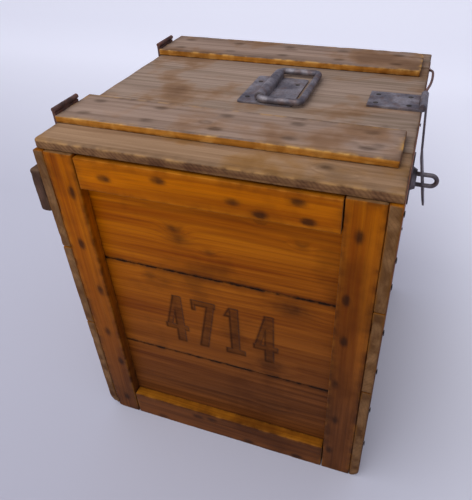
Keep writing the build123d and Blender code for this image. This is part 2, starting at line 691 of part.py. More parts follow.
def lid_leaf(start):
    """The inner leaf: a flat strip on the batten's end and the lid's edge, with one knuckle."""
    spans = knuckle_spans(start)
    flat = ((lid_leaf_x[0], leaf_foot), (lid_leaf_x[1], leaf_foot),
            (lid_leaf_x[1], leaf_head), (lid_leaf_x[0], leaf_head))
    neck = ((lid_leaf_x[0], leaf_head - 1), (lid_leaf_x[1], leaf_head - 1),
            (lid_leaf_x[1], neck_top), (lid_leaf_x[0], neck_top))
    with BuildPart() as leaf:
        add(leaf_strip(flat, (start, start + HINGE_LENGTH)).part)
        add(leaf_strip(neck, spans[1]).part)
        add_knuckle(spans[1], HINGE_AXIS_X, HINGE_AXIS_Z, HINGE_KNUCKLE_RADIUS,
                    HINGE_PIN_RADIUS + PIN_CLEARANCE)
        clear_screws(hinge_lid_screws(start))
    return leaf


def body_leaf(start):
    """The outer leaf: it stands over the lid leaf and steps in to the side board below."""
    spans = knuckle_spans(start)
    flat = ((body_leaf_x[0], leaf_head), (body_leaf_x[0], bend_top), (lid_leaf_x[0], bend_foot),
            (lid_leaf_x[0], foot_end), (lid_leaf_x[1], foot_end), (lid_leaf_x[1], bend_foot),
            (body_leaf_x[1], bend_top), (body_leaf_x[1], leaf_head))
    neck = ((body_leaf_x[0], leaf_head - 1), (body_leaf_x[1], leaf_head - 1),
            (body_leaf_x[1], neck_top), (body_leaf_x[0], neck_top))
    with BuildPart() as leaf:
        add(leaf_strip(flat, (start, start + HINGE_LENGTH)).part)
        for span in (spans[0], spans[2]):
            add(leaf_strip(neck, span).part)
            add_knuckle(span, HINGE_AXIS_X, HINGE_AXIS_Z, HINGE_KNUCKLE_RADIUS,
                        HINGE_PIN_RADIUS + PIN_CLEARANCE)
        clear_screws(hinge_foot_screws(start))
    return leaf


def cross_pin(start, end, axis_x, axis_z, radius):
    """A plain round pin along Y."""
    with BuildPart() as pin:
        with BuildSketch(Plane(origin=(axis_x, start, axis_z), z_dir=(0, 1, 0))):
            Circle(radius)
        extrude(amount=end - start)
    return pin


for place, start in (("front", FRONT_HINGE_Y), ("rear", REAR_HINGE_Y)):
    save(lid_leaf(start), f"hinge_{place}_lid_leaf")
    save(body_leaf(start), f"hinge_{place}_body_leaf")
    save(cross_pin(start - 0.6, start + HINGE_LENGTH + 0.6, HINGE_AXIS_X, HINGE_AXIS_Z,
                   HINGE_PIN_RADIUS), f"hinge_{place}_pin")
save(screw_group(lid_leaf_screws), "hinge_lid_screws")
save(screw_group(foot_screws), "hinge_body_screws")


# Hasp: a leaf on the lid, a pin, and a swinging strap with a slot
strap_span = (HASP_OFFSET - STRAP_WIDTH / 2, HASP_OFFSET + STRAP_WIDTH / 2)
leaf_knuckles = ((HASP_FRONT, strap_span[0] - KNUCKLE_GAP), (strap_span[1] + KNUCKLE_GAP, HASP_BACK))
with BuildPart() as hasp_leaf:
    with BuildSketch(Plane.XY.offset(LID_TOP)):
        with Locations((HALF_WIDTH - HASP_LEAF_LENGTH / 2 - HASP_KNUCKLE_RADIUS / 2, HASP_OFFSET)):
            Rectangle(HASP_LEAF_LENGTH - HASP_KNUCKLE_RADIUS, HASP_WIDTH)
    extrude(amount=HASP_SHEET)
    for span in leaf_knuckles:
        with BuildSketch(Plane.XY.offset(LID_TOP)):
            with Locations((HASP_AXIS_X - HASP_KNUCKLE_RADIUS / 2, (span[0] + span[1]) / 2)):
                Rectangle(HASP_KNUCKLE_RADIUS + 2, span[1] - span[0])
        extrude(amount=HASP_SHEET)
        add_knuckle(span, HASP_AXIS_X, HASP_AXIS_Z, HASP_KNUCKLE_RADIUS, HASP_BORE_RADIUS)
    with Locations((HASP_AXIS_X, HASP_OFFSET, HASP_AXIS_Z)):
        Box(2 * HASP_KNUCKLE_RADIUS + 0.8, STRAP_WIDTH + 2 * KNUCKLE_GAP,
            2 * HASP_KNUCKLE_RADIUS + 2, mode=Mode.SUBTRACT)
    clear_screws(hasp_screws)
save(hasp_leaf, "hasp_leaf")
save(screw_group(hasp_screws), "hasp_screws")
save(cross_pin(HASP_FRONT - 0.8, HASP_BACK + 0.8, HASP_AXIS_X, HASP_AXIS_Z, HASP_PIN_RADIUS),
     "hasp_pin")


def strap_profile():
    """The strap from the side: straight, then bent outward, as (X, Z) points."""
    hang = radians(STRAP_HANG)
    lean = radians(STRAP_HANG + STRAP_BEND)
    inner_start = (HASP_AXIS_X + HASP_BORE_RADIUS * cos(hang) + 0.1,
                   HASP_AXIS_Z + HASP_BORE_RADIUS * sin(hang))
    inner_bend = (inner_start[0] + STRAP_BEND_DROP * tan(hang), inner_start[1] - STRAP_BEND_DROP)
    rest = STRAP_LENGTH - STRAP_BEND_DROP
    inner_tip = (inner_bend[0] + rest * sin(lean), inner_bend[1] - rest * cos(lean))
    outer_tip = (inner_tip[0] + HASP_SHEET * cos(lean), inner_tip[1] + HASP_SHEET * sin(lean))
    outer_bend = (inner_bend[0] + HASP_SHEET / cos(hang), inner_bend[1])
    outer_start = (HASP_AXIS_X + HASP_KNUCKLE_RADIUS * cos(hang),
                   HASP_AXIS_Z + HASP_KNUCKLE_RADIUS * sin(hang))
    return inner_start, inner_bend, inner_tip, outer_tip, outer_bend, outer_start


profile = strap_profile()
strap_tip = profile[2][1]
slot_low = STAPLE_HEIGHT - STAPLE_ARM_SPACING / 2 - STAPLE_WIRE_RADIUS - STRAP_SLOT_BELOW
slot_high = STAPLE_HEIGHT + STAPLE_ARM_SPACING / 2 + STAPLE_WIRE_RADIUS + STRAP_SLOT_ABOVE
with BuildPart() as hasp_strap:
    add(leaf_strip(profile, strap_span).part)
    with BuildSketch(Plane(origin=(HALF_WIDTH, HASP_OFFSET, strap_tip), x_dir=(0, 1, 0),
                           z_dir=(1, 0, 0))):
        with BuildLine():
            Polyline((-STRAP_WIDTH / 2, 2 * STRAP_LENGTH), (-STRAP_WIDTH / 2, STRAP_TIP_TAPER),
                     (-STRAP_TIP_HALF, STRAP_TIP_ROUND))
            ThreePointArc((-STRAP_TIP_HALF, STRAP_TIP_ROUND), (0, 0),
                          (STRAP_TIP_HALF, STRAP_TIP_ROUND))
            Polyline((STRAP_TIP_HALF, STRAP_TIP_ROUND), (STRAP_WIDTH / 2, STRAP_TIP_TAPER),
                     (STRAP_WIDTH / 2, 2 * STRAP_LENGTH), (-STRAP_WIDTH / 2, 2 * STRAP_LENGTH))
        make_face()
    extrude(amount=STRAP_LENGTH, mode=Mode.INTERSECT)
    add_knuckle(strap_span, HASP_AXIS_X, HASP_AXIS_Z, HASP_KNUCKLE_RADIUS, HASP_BORE_RADIUS)
    with BuildSketch(Plane(origin=(HALF_WIDTH, HASP_OFFSET, (slot_low + slot_high) / 2),
                           x_dir=(0, 1, 0), z_dir=(1, 0, 0))):
        SlotOverall(slot_high - slot_low, STRAP_SLOT_WIDTH, rotation=90)
    extrude(amount=STRAP_LENGTH, mode=Mode.SUBTRACT)
save(hasp_strap, "hasp_strap")


# Staple on the hasp side: a plate with a raised boss, and a bent loop riveted through it
with BuildPart() as staple_plate:
    with BuildSketch(Plane(origin=(HALF_WIDTH, HASP_OFFSET, STAPLE_HEIGHT), x_dir=(0, 1, 0),
                           z_dir=(1, 0, 0))):
        RectangleRounded(STAPLE_PLATE_WIDTH, STAPLE_PLATE_HEIGHT, 4)
    extrude(amount=STAPLE_PLATE_SHEET)
    with Locations(Plane(origin=(plate_face, HASP_OFFSET, STAPLE_HEIGHT), z_dir=(1, 0, 0))):
        Cone(STAPLE_BOSS_RADIUS, STAPLE_BOSS_RADIUS - STAPLE_BOSS_TAPER, STAPLE_BOSS_HEIGHT,
             align=(Align.CENTER, Align.CENTER, Align.MIN))
    staple_leg_holes()
    clear_screws(staple_screws)
save(staple_plate, "staple_plate")
save(screw_group(staple_screws), "staple_screws")

arm = STAPLE_ARM_SPACING / 2
bend_x = HALF_WIDTH + STAPLE_REACH - STAPLE_WIRE_RADIUS - arm
with BuildPart() as staple:
    with BuildLine(Plane(origin=(0, HASP_OFFSET, STAPLE_HEIGHT), x_dir=(1, 0, 0),
                         z_dir=(0, -1, 0))) as staple_path:
        Line((HALF_WIDTH - STAPLE_ROOT, -arm), (bend_x, -arm))
        ThreePointArc((bend_x, -arm), (bend_x + arm, 0), (bend_x, arm))
        Line((bend_x, arm), (HALF_WIDTH - STAPLE_ROOT, arm))
    with BuildSketch(Plane(origin=(HALF_WIDTH - STAPLE_ROOT, HASP_OFFSET, STAPLE_HEIGHT - arm),
                           z_dir=(1, 0, 0))):
        Circle(STAPLE_WIRE_RADIUS)
    sweep(path=staple_path.line)
save(staple, "staple")


# Lifting handle: a plate with a pressed-up sleeve, and a closed ring that turns in it
sleeve_start = HANDLE_PLATE_Y - HANDLE_PLATE_LENGTH / 2 + HANDLE_SLEEVE_MARGIN
sleeve_end = HANDLE_PLATE_Y + HANDLE_PLATE_LENGTH / 2
sleeve_middle = (sleeve_start + sleeve_end) / 2
sleeve_length = sleeve_end - sleeve_start
with BuildPart() as handle_plate:
    with BuildSketch(Plane.XY.offset(LID_TOP)):
        with Locations((HANDLE_PLATE_X, HANDLE_PLATE_Y)):
            RectangleRounded(HANDLE_PLATE_WIDTH, HANDLE_PLATE_LENGTH, 3)
    extrude(amount=HANDLE_SHEET)
    with Locations(Plane(origin=(BAIL_AXIS_X, sleeve_middle, BAIL_AXIS_Z), z_dir=(0, 1, 0))):
        Cylinder(SLEEVE_BORE + HANDLE_SHEET, sleeve_length)
    with Locations((BAIL_AXIS_X, sleeve_middle, LID_TOP)):
        Box(2 * (SLEEVE_BORE + HANDLE_SHEET), sleeve_length, BAIL_AXIS_Z - LID_TOP,
            align=(Align.CENTER, Align.CENTER, Align.MIN))
    with Locations(Plane(origin=(BAIL_AXIS_X, sleeve_middle, BAIL_AXIS_Z), z_dir=(0, 1, 0))):
        Cylinder(SLEEVE_BORE, sleeve_length + 0.01, mode=Mode.SUBTRACT)
    with Locations((BAIL_AXIS_X, sleeve_middle, LID_TOP)):
        Box(2 * SLEEVE_BORE, sleeve_length, BAIL_AXIS_Z - LID_TOP, mode=Mode.SUBTRACT,
            align=(Align.CENTER, Align.CENTER, Align.MIN))
    split(bisect_by=Plane.XY.offset(LID_TOP), keep=Keep.TOP)
    clear_screws(handle_screws)
save(handle_plate, "handle_plate")
save(screw_group(handle_screws), "handle_screws")

with BuildPart() as bail:
    with BuildLine(Plane.XY.offset(BAIL_AXIS_Z)) as bail_path:
        Polyline((BAIL_AXIS_X, BAIL_Y - BAIL_LENGTH / 2),
                 (BAIL_AXIS_X + BAIL_REACH, BAIL_Y - BAIL_LENGTH / 2),
                 (BAIL_AXIS_X + BAIL_REACH, BAIL_Y + BAIL_LENGTH / 2),
                 (BAIL_AXIS_X, BAIL_Y + BAIL_LENGTH / 2), close=True)
        fillet(bail_path.vertices(), BAIL_CORNER)
    with BuildSketch(Plane(origin=(BAIL_AXIS_X + BAIL_REACH, BAIL_Y, BAIL_AXIS_Z),
                           z_dir=(0, 1, 0))):
        Circle(BAIL_RADIUS)
    sweep(path=bail_path.wire())
save(bail, "bail")


# Keeper wire: from a hole in the lid's edge, bowed out along the hasp side, to the hasp's pin
with BuildPart() as keeper_wire:
    with BuildLine() as keeper_path:
        FilletPolyline((keeper_hole[0] + 1, keeper_hole[1], keeper_hole[2]),
                       (LID_RIGHT + KEEPER_BOW, keeper_hole[1], keeper_hole[2]),
                       (LID_RIGHT + KEEPER_BOW, keeper_hole[1] - KEEPER_RUN,
                        keeper_hole[2] + KEEPER_RISE),
                       (HASP_AXIS_X + KEEPER_END_GAP, HASP_BACK + KEEPER_LEAD, HASP_AXIS_Z),
                       (HASP_AXIS_X, HASP_BACK + KEEPER_END_GAP, HASP_AXIS_Z),
                       radius=KEEPER_CORNER)
    with BuildSketch(Plane(origin=keeper_path.line @ 0, z_dir=keeper_path.line % 0)):
        Circle(KEEPER_RADIUS)
    sweep(path=keeper_path.line)
save(keeper_wire, "keeper_wire")
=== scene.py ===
"""Wooden egg crate with a hinged lid: the visible surfaces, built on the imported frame.

A length is in millimetres where its name ends in _mm or _MM, and in metres elsewhere. The frame
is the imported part's own: X from the hinge side to the hasp side, Y from the front to the back,
Z up.
"""

import json
import logging
import math
from dataclasses import dataclass, field
from enum import Enum
from functools import lru_cache

import bpy
import numpy as np
from mathutils import Matrix, Vector

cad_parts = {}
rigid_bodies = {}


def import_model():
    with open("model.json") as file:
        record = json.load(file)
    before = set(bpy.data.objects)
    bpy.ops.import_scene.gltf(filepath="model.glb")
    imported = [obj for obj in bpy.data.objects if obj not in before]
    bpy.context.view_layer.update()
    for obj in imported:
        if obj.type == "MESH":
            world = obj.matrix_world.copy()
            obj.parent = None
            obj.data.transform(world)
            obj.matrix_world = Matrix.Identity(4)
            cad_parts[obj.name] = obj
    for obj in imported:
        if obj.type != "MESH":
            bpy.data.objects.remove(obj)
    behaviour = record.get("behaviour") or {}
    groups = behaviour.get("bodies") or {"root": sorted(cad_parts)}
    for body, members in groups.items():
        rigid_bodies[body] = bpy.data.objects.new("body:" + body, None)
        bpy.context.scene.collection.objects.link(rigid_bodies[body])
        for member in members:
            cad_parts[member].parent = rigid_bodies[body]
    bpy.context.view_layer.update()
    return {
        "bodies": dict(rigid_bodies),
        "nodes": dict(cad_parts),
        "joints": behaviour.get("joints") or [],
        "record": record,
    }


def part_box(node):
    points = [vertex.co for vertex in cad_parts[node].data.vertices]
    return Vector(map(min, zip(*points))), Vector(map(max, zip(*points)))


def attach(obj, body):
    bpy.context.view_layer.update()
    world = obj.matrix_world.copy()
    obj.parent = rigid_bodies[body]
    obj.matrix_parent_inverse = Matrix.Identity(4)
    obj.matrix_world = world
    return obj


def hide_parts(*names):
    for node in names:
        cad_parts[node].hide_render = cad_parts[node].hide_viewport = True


MM = 0.001

# The camera, fitted to the box's straight edges
IMAGE_WIDTH_PX = 472
IMAGE_HEIGHT_PX = 500
FOCAL_PX = 504.7
PRINCIPAL_X_PX = 257.7
PRINCIPAL_Y_PX = 222.2
CAMERA_EYE = (0.1659, -0.4915, 0.5885)
CAMERA_TARGET = (-0.0100, 0.0, 0.2136)
CAMERA_ROLL_DEG = -1.76
SENSOR_MM = 36.0
CLIP_START = 0.01

# Added to the seed for each further octave
OCTAVE_SEED_STEP = 17
# Points that round to the same ten-thousandth of a millimetre are joined
JOIN_PER_METRE = 1e7

# Grid lines within a worn edge, in shares of its reach
EDGE_LINES = (0.0, 0.2, 0.45, 0.75, 1.1, 1.6)
# The largest share of a board's width or thickness that one edge may take
THICKNESS_SHARE = 0.45

# The iron stain round a nail: how near its head's level it shows, and how many times longer it
# runs along the grain
STAIN_DEPTH = 4 * MM
STAIN_RUN = 1.9
# Points of a nail group within this distance across the nails belong to one nail
NAIL_REACH = 7 * MM
# A nail's profile from crown to rim: radii in head radii, depths in dome heights
HEAD_RADII = (0.02, 0.45, 0.8, 0.97, 1.0, 0.97)
HEAD_DEPTHS = (0.0, 0.12, 0.4, 0.75, 1.0, 1.5)
NECK_DEPTH = 2.4
# The end ring of a nail's shank or of the wire, in shares of its radius, under one small quad
TIP_SHARE = 0.05

# The keeper wire's places in shares of its CAD box, from the lid's edge to the pin
WIRE_PLACES = ((0.0, 1.0, 0.0), (0.6, 1.0, 0.05), (0.95, 0.9, 0.15), (1.0, 0.62, 0.4),
               (0.86, 0.34, 0.75), (0.6, 0.12, 1.0), (0.5, 0.0, 1.0))

# Socket numbers on the colour side of Blender's Mix node
MIX_SHARE, MIX_FIRST, MIX_SECOND, MIX_RESULT = 0, 6, 7, 2

# Wood patterns in features a metre: along the grain, across it, outward from the tree's heart
FIBRES = (16, 1100, 1100)
STREAKS = (7, 210, 210)
BANDS = (3, 38, 38)
# Painted shade: the wood darkens from the first height down to the second, and sooner towards the
# hasp side
SHADE_HEIGHT_RAMP = (0.37, 0.08)
SHADE_TILT = 0.3

log = logging.getLogger("egg_crate")


class Axis(Enum):
    """The frame's three directions, as column numbers."""

    X = 0
    Y = 1
    Z = 2


def linear(hex_colour: str) -> tuple:
    """Turn an sRGB hex colour into a linear colour with alpha 1.

    Args:
        hex_colour: six hex digits with a leading mark, such as "#c08040".

    Returns:
        Red, green, blue and alpha, each 0 to 1.
    """
    digits = hex_colour.lstrip("#")
    shares = [int(digits[start:start + 2], 16) / 255 for start in (0, 2, 4)]
    bent = [v / 12.92 if v <= 0.04045 else ((v + 0.055) / 1.055) ** 2.4 for v in shares]
    return (*bent, 1.0)


# Random fields, computed for whole arrays of points at once
def hashed(cells: np.ndarray, seed: int) -> np.ndarray:
    """A repeatable random value for each whole-number cell.

    Each coordinate is multiplied by its own large odd number, the products are joined by
    exclusive or, and the result is mixed by shifts and one more product.

    Args:
        cells: whole numbers, last axis of length 3.
        seed: picks one field out of many.

    Returns:
        Values from 0 to 1.
    """
    c = cells.astype(np.int64).astype(np.uint64)
    h = (c[..., 0] * np.uint64(73856093)) ^ (c[..., 1] * np.uint64(19349663))
    h ^= (c[..., 2] * np.uint64(83492791)) ^ np.uint64(seed * 2654435761 % 4294967296)
    h = (h ^ (h >> np.uint64(13))) * np.uint64(1274126177)
    h ^= h >> np.uint64(16)
    return (h & np.uint64(65535)).astype(float) / 65535.0


def noise(points: np.ndarray, size: float | tuple, seed: int,
          octaves: int = 1) -> np.ndarray:
    """A smooth random field: cell corners' values, blended with weights f * f * (3 - 2 f).

    Args:
        points: places in metres, shape (n, 3).
        size: feature size in metres, one number or one for each axis.
        seed: picks the field.
        octaves: each further one is half the size and half the strength.

    Returns:
        Values from 0 to 1, shape (n,).
    """
    total = np.zeros(len(points))
    weight_sum = 0.0
    for octave in range(octaves):
        q = points / (np.asarray(size) / 2 ** octave)
        base = np.floor(q)
        f = q - base
        w = f * f * (3 - 2 * f)
        level = np.zeros(len(points))
        for corner in np.ndindex(2, 2, 2):
            corner = np.array(corner)
            share = np.prod(np.where(corner == 1, w, 1 - w), axis=1)
            level += share * hashed(base + corner, seed + OCTAVE_SEED_STEP * octave)
        total += level / 2 ** octave
        weight_sum += 1 / 2 ** octave
    return total / weight_sum


# Surfaces
@dataclass
class Surface:
    """A surface as arrays, with named values at its points."""

    points: np.ndarray
    faces: np.ndarray
    values: dict = field(default_factory=dict)

    def object(self, name: str) -> bpy.types.Object:
        """Make the Blender object at the origin, with each named value as an attribute.

        Args:
            name: the piece's name.

        Returns:
            The new object, linked to the scene.
        """
        mesh = bpy.data.meshes.new(name)
        corners = self.faces.shape[1]
        mesh.vertices.add(len(self.points))
        mesh.vertices.foreach_set("co", self.points.astype(np.float32).ravel())
        mesh.loops.add(self.faces.size)
        mesh.loops.foreach_set("vertex_index", self.faces.astype(np.int32).ravel())
        mesh.polygons.add(len(self.faces))
        starts = np.arange(0, self.faces.size, corners, dtype=np.int32)
        mesh.polygons.foreach_set("loop_start", starts)
        mesh.update(calc_edges=True)
        mesh.shade_smooth()
        for key, value in self.values.items():
            kind = "FLOAT_VECTOR" if value.ndim == 2 else "FLOAT"
            attribute = mesh.attributes.new(key, kind, "POINT")
            slot = "vector" if value.ndim == 2 else "value"
            attribute.data.foreach_set(slot, value.astype(np.float32).ravel())
        made = bpy.data.objects.new(name, mesh)
        bpy.context.scene.collection.objects.link(made)
        return made


def grid_lines(low: float, high: float, wear: float, step: float) -> np.ndarray:
    """Grid places from low to high: close together within the worn edges, then every step.

    Args:
        low: first place.
        high: last place.
        wear: how far in the wear reaches.
        step: spacing in the middle.

    Returns:
        Rising places that start at low and end at high.
    """
    near = wear * np.array(EDGE_LINES)
    near = near[near < (high - low) * THICKNESS_SHARE]
    inner_low, inner_high = low + near[-1], high - near[-1]
    count = max(2, int(round((inner_high - inner_low) / step)) + 1)
    middle = np.linspace(inner_low, inner_high, count)
    return np.concatenate([low + near[:-1], middle, (high - near[:-1])[::-1]])


def box_surface(lines: list) -> tuple:
    """The closed quad grid on a box, with shared points along its edges.

    Each of the six sides is the grid of two of the three line lists; points that meet are
    joined by their rounded places.

    Args:
        lines: three arrays of rising places, along X, Y and Z.

    Returns:
        The points, shape (n, 3), and the quads, shape (m, 4), facing outward.
    """
    points, quads, start = [], [], 0
    for axis in range(3):
        u, v = (axis + 1) % 3, (axis + 2) % 3
        for side in (0, -1):
            across_u, across_v = np.meshgrid(lines[u], lines[v], indexing="ij")
            sheet = np.empty(across_u.shape + (3,))
            sheet[..., u], sheet[..., v], sheet[..., axis] = across_u, across_v, lines[axis][side]
            index = start + np.arange(across_u.size).reshape(across_u.shape)
            quad = np.stack([index[:-1, :-1], index[1:, :-1], index[1:, 1:], index[:-1, 1:]], -1)
            quad = quad.reshape(-1, 4)
            quads.append(quad[:, ::-1] if side == 0 else quad)
            points.append(sheet.reshape(-1, 3))
            start += across_u.size
    points = np.concatenate(points)
    keys = np.round(points * JOIN_PER_METRE).astype(np.int64)
    _, first, inverse = np.unique(keys, axis=0, return_index=True, return_inverse=True)
    return points[first], inverse.reshape(-1)[np.concatenate(quads)]


def with_fine(places: np.ndarray, low: float, high: float, step: float) -> np.ndarray:
    """Grid places with the stretch from low to high drawn closer together.

    Args:
        places: rising places.
        low: where the close spacing starts.
        high: where it ends.
        step: the close spacing.

    Returns:
        Rising places.
    """
    kept = places[(places < low - step / 2) | (places > high + step / 2)]
    return np.sort(np.concatenate([kept, np.arange(low, high, step)]))


def ring_numbers(rings: int, sides: int) -> tuple:
    """Point numbers of a stack of rings, and each point's next one round its ring."""
    index = np.arange(rings * sides).reshape(rings, sides)
    return index, np.roll(index, -1, axis=1)


@dataclass(frozen=True)
class WornCorner:
    """A square corner of the crate worn to a quarter circle, seen along one axis."""

    along: Axis
    place_mm: tuple
    inward: tuple
    radius_mm: float

    def carry(self, points: np.ndarray) -> None:
        """Carry the points in the corner's square to its quarter circle, in place.

        A point at (a, b) from the circle's middle goes to (a, b) * max(a, b) / sqrt(a a + b b).
        """
        axes = [axis for axis in range(3) if axis != self.along.value]
        radius = self.radius_mm * MM
        spans = [radius - (points[:, axis] - place * MM) * way
                 for axis, place, way in zip(axes, self.place_mm, self.inward)]
        near = (spans[0] > 0) & (spans[1] > 0)
        share = np.maximum(*spans)[near] / np.hypot(*spans)[near]
        for axis, place, way, span in zip(axes, self.place_mm, self.inward, spans):
            points[near, axis] = place * MM + way * (radius - span[near] * share)


class Pattern(Enum):
    """A board's random patterns. Each number is added to the board's seed."""

    WEAR = 0
    DENTS = 5
    FIBRES = 9
    BENDS = 21
    EDGES = 31
    STAINS = 41
    BURNS = 51


@dataclass(frozen=True)
class Mark:
    """A knot or a dark stain on a board that lies along X: its place, radius and strength."""

    along_mm: float
    across_mm: float
    radius_mm: float
    strength: float = 0.8
    stretch: float = 1.6


@dataclass(frozen=True)
class Board:
    """One board of the crate, rebuilt with worn edges over its CAD node."""

    node: str
    grain: Axis
    seed: int
    wear: float = 1.3 * MM
    relief: float = 0.15 * MM
    step: float = 2.3 * MM
    tone: float = 0.0
    marks: tuple = ()
    nail_nodes: tuple = ()
    nail_reach: float = 3.8 * MM
    # Dark grime along the edges; on the stiles it is partly painted shade on their inner faces
    grime: float = 0.45
    grime_reach: float = 5.0 * MM
    bright: float = 1.0
    bright_reach: float = 1.8 * MM
    open_top: float = 1.0
    corners: tuple = ()
    grid_reach: float = 2.2
    heart_near_mm: float = 45.0
    heart_range_mm: float = 60.0
    heart_spread: float = 0.9
    bend: float = 8 * MM
    knot_pull: float = 4 * MM
    knot_spread: float = 1.6

    def places(self, low: np.ndarray, high: np.ndarray) -> list:
        """The grid places along X, Y and Z."""
        return [grid_lines(low[axis], high[axis], self.grid_reach * self.wear, self.step)
                for axis in range(3)]

    def build(self) -> Surface:
        """Compute the board's surface.

        A point p of the plain box is carried to c + r d, where c is p held inside the box
        shrunk by the wear radius r, d is the direction from c to p, and r changes along the
        edges with a smooth random field. Fine relief then moves each point inward along d.

        Returns:
            The surface with the values the wood finish reads.
        """
        low, high = (np.array(corner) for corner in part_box(self.node))
        flat, quads = box_surface(self.places(low, high))
        radius = self.wear_radius(flat, low, high)[:, None]
        held = np.clip(flat, low + radius, high - radius)
        away = flat - held
        away /= np.linalg.norm(away, axis=1)[:, None]
        points = held + radius * away
        points -= away * (self.relief * self.fibres(flat))[:, None]
        for corner in self.corners:
            corner.carry(points)
        return Surface(points, quads, {
            "grain": self.grain_values(flat, low, high),
            "edge": self.bright * self.edge_values(flat, low, high, self.bright_reach),
            "grime": self.grime * self.edge_values(flat, low, high, self.grime_reach),
            "top": self.open_top * np.clip(away[:, 2], 0, 1),
            "ends": np.clip(np.abs(away[:, self.grain.value]), 0, 1),
            "stain": self.stain_values(flat, away),
            "tone": np.full(len(flat), self.tone),
        })

    def random(self, pattern: Pattern, points: np.ndarray, size: float | tuple,
               octaves: int = 2) -> np.ndarray:
        """One of the board's own random patterns, 0 to 1 at each point."""
        return noise(points, size, self.seed + pattern.value, octaves)

    def along_grain(self, width: float, length: float) -> tuple:
        """A feature's size on each axis: its length along the grain and its width across."""
        return tuple(length if axis == self.grain.value else width for axis in range(3))

    def wear_radius(self, flat: np.ndarray, low: np.ndarray, high: np.ndarray) -> np.ndarray:
        """The rounding radius at each point: a base, a slow change and a few deeper dents."""
        slow = self.random(Pattern.WEAR, flat, 30 * MM, octaves=1)
        dents = self.random(Pattern.DENTS, flat, 9 * MM, octaves=1)
        dents = np.clip(dents - 0.72, 0, 1) * 3.0
        radius = self.wear * (0.45 + 0.75 * slow + dents)
        return np.minimum(radius, THICKNESS_SHARE * (high - low).min())

    def fibres(self, flat: np.ndarray) -> np.ndarray:
        """Relief along the grain: a random field stretched lengthwise, 0 to 1."""
        return self.random(Pattern.FIBRES, flat, self.along_grain(3.5 * MM, 70 * MM))

    def grain_values(self, flat: np.ndarray, low: np.ndarray, high: np.ndarray) -> np.ndarray:
        """Place in the tree: length along it, place across it, and distance from its heart.

        The distance is sqrt(b * b + c * c) measured from a line beside the board, bent by slow
        random fields, and drawn in round each knot by a bell. The length and the place across
        are shifted by the seed, so that no two boards show the same pattern.
        """
        extent = high - low
        across = [axis for axis in range(3) if axis != self.grain.value]
        wide, thin = sorted(across, key=lambda axis: extent[axis], reverse=True)
        chance = hashed(np.array([[self.seed, 3, 5], [self.seed, 7, 1]]), 3)
        heart_wide = (low + high)[wide] / 2 + (chance[0] - 0.5) * self.heart_spread * extent[wide]
        heart_thin = low[thin] - (self.heart_near_mm + self.heart_range_mm * chance[1]) * MM
        distance = np.hypot(flat[:, wide] - heart_wide, flat[:, thin] - heart_thin)
        bends = self.random(Pattern.BENDS, flat, self.along_grain(60 * MM, 320 * MM))
        distance += self.bend * (bends - 0.5)
        for mark in self.marks:
            distance -= self.knot_pull * self.bell(flat, mark, self.knot_spread)
        along = flat[:, self.grain.value] + 3.1 * self.seed
        return np.stack([along, flat[:, wide] + 1.7 * self.seed, distance], axis=1)

    def bell(self, flat: np.ndarray, mark: Mark, spread: float) -> np.ndarray:
        """exp(-(a * a + b * b)), with a and b the way from a mark along X and across it.

        Both are counted in the mark's radii, and a is shortened by the mark's stretch.

        Args:
            flat: places on the plain box.
            mark: the mark. Its place across is a Y on the lid and a Z on the box.
            spread: makes the radius larger.

        Returns:
            Values from 0 to 1.
        """
        across = Axis.Y if self.node.startswith(("lid", "batten")) else Axis.Z
        reach = mark.radius_mm * MM * spread
        a = (flat[:, Axis.X.value] - mark.along_mm * MM) / (reach * mark.stretch)
        b = (flat[:, across.value] - mark.across_mm * MM) / reach
        return np.exp(-(a ** 2 + b ** 2))

    def edge_values(self, flat: np.ndarray, low: np.ndarray, high: np.ndarray,
                    reach: float) -> np.ndarray:
        """Nearness to the board's edges: exp(-depth / reach), made ragged by a random field."""
        depth = np.sort(np.minimum(flat - low, high - flat), axis=1)[:, 1]
        ragged = self.random(Pattern.EDGES, flat, 4 * MM)
        return np.clip(np.exp(-depth / reach) * (0.4 + 1.2 * ragged), 0, 1)

    def stain_values(self, flat: np.ndarray, away: np.ndarray) -> np.ndarray:
        """Dark stain: one bell for each mark, and one round each nail head."""
        ragged = self.random(Pattern.STAINS, flat, 6 * MM)
        total = np.zeros(len(flat))
        for mark in self.marks:
            total += mark.strength * self.bell(flat, mark, 1.0)
        for node in self.nail_nodes:
            for head in nail_heads(node):
                total += head.stain(flat, away, self.grain.value, self.nail_reach)
        return np.clip(total * (0.55 + 0.9 * ragged), 0, 1)


# Numerals
def outline_distance(u: np.ndarray, v: np.ndarray, corners: tuple) -> np.ndarray:
    """Distance from points to a closed outline, below zero inside it.

    It is the least over the edges of |p - a - t e|, with t = (p - a) . e / (e . e) held between
    0 and 1. A point is inside when a level line from it crosses the outline an odd number of
    times.

    Args:
        u: the points' places across.
        v: the points' places upward.
        corners: the outline's corners in order.

    Returns:
        One distance for each point.
    """
    nearest = np.full(u.shape, np.inf)
    inside = np.zeros(u.shape, bool)
    for (ax, ay), (bx, by) in zip(corners, corners[1:] + corners[:1]):
        ex, ey = bx - ax, by - ay
        t = np.clip(((u - ax) * ex + (v - ay) * ey) / (ex * ex + ey * ey), 0, 1)
        nearest = np.minimum(nearest, np.hypot(u - ax - t * ex, v - ay - t * ey))
        crossed = (ay > v) != (by > v)
        if ey:
            inside ^= crossed & (u < ax + (v - ay) * ex / ey)
    return np.where(inside, -nearest, nearest)


def block(left: float, foot: float, right: float, top: float) -> tuple:
    """The outline of an upright rectangle."""
    return ((left, foot), (right, foot), (right, top), (left, top))


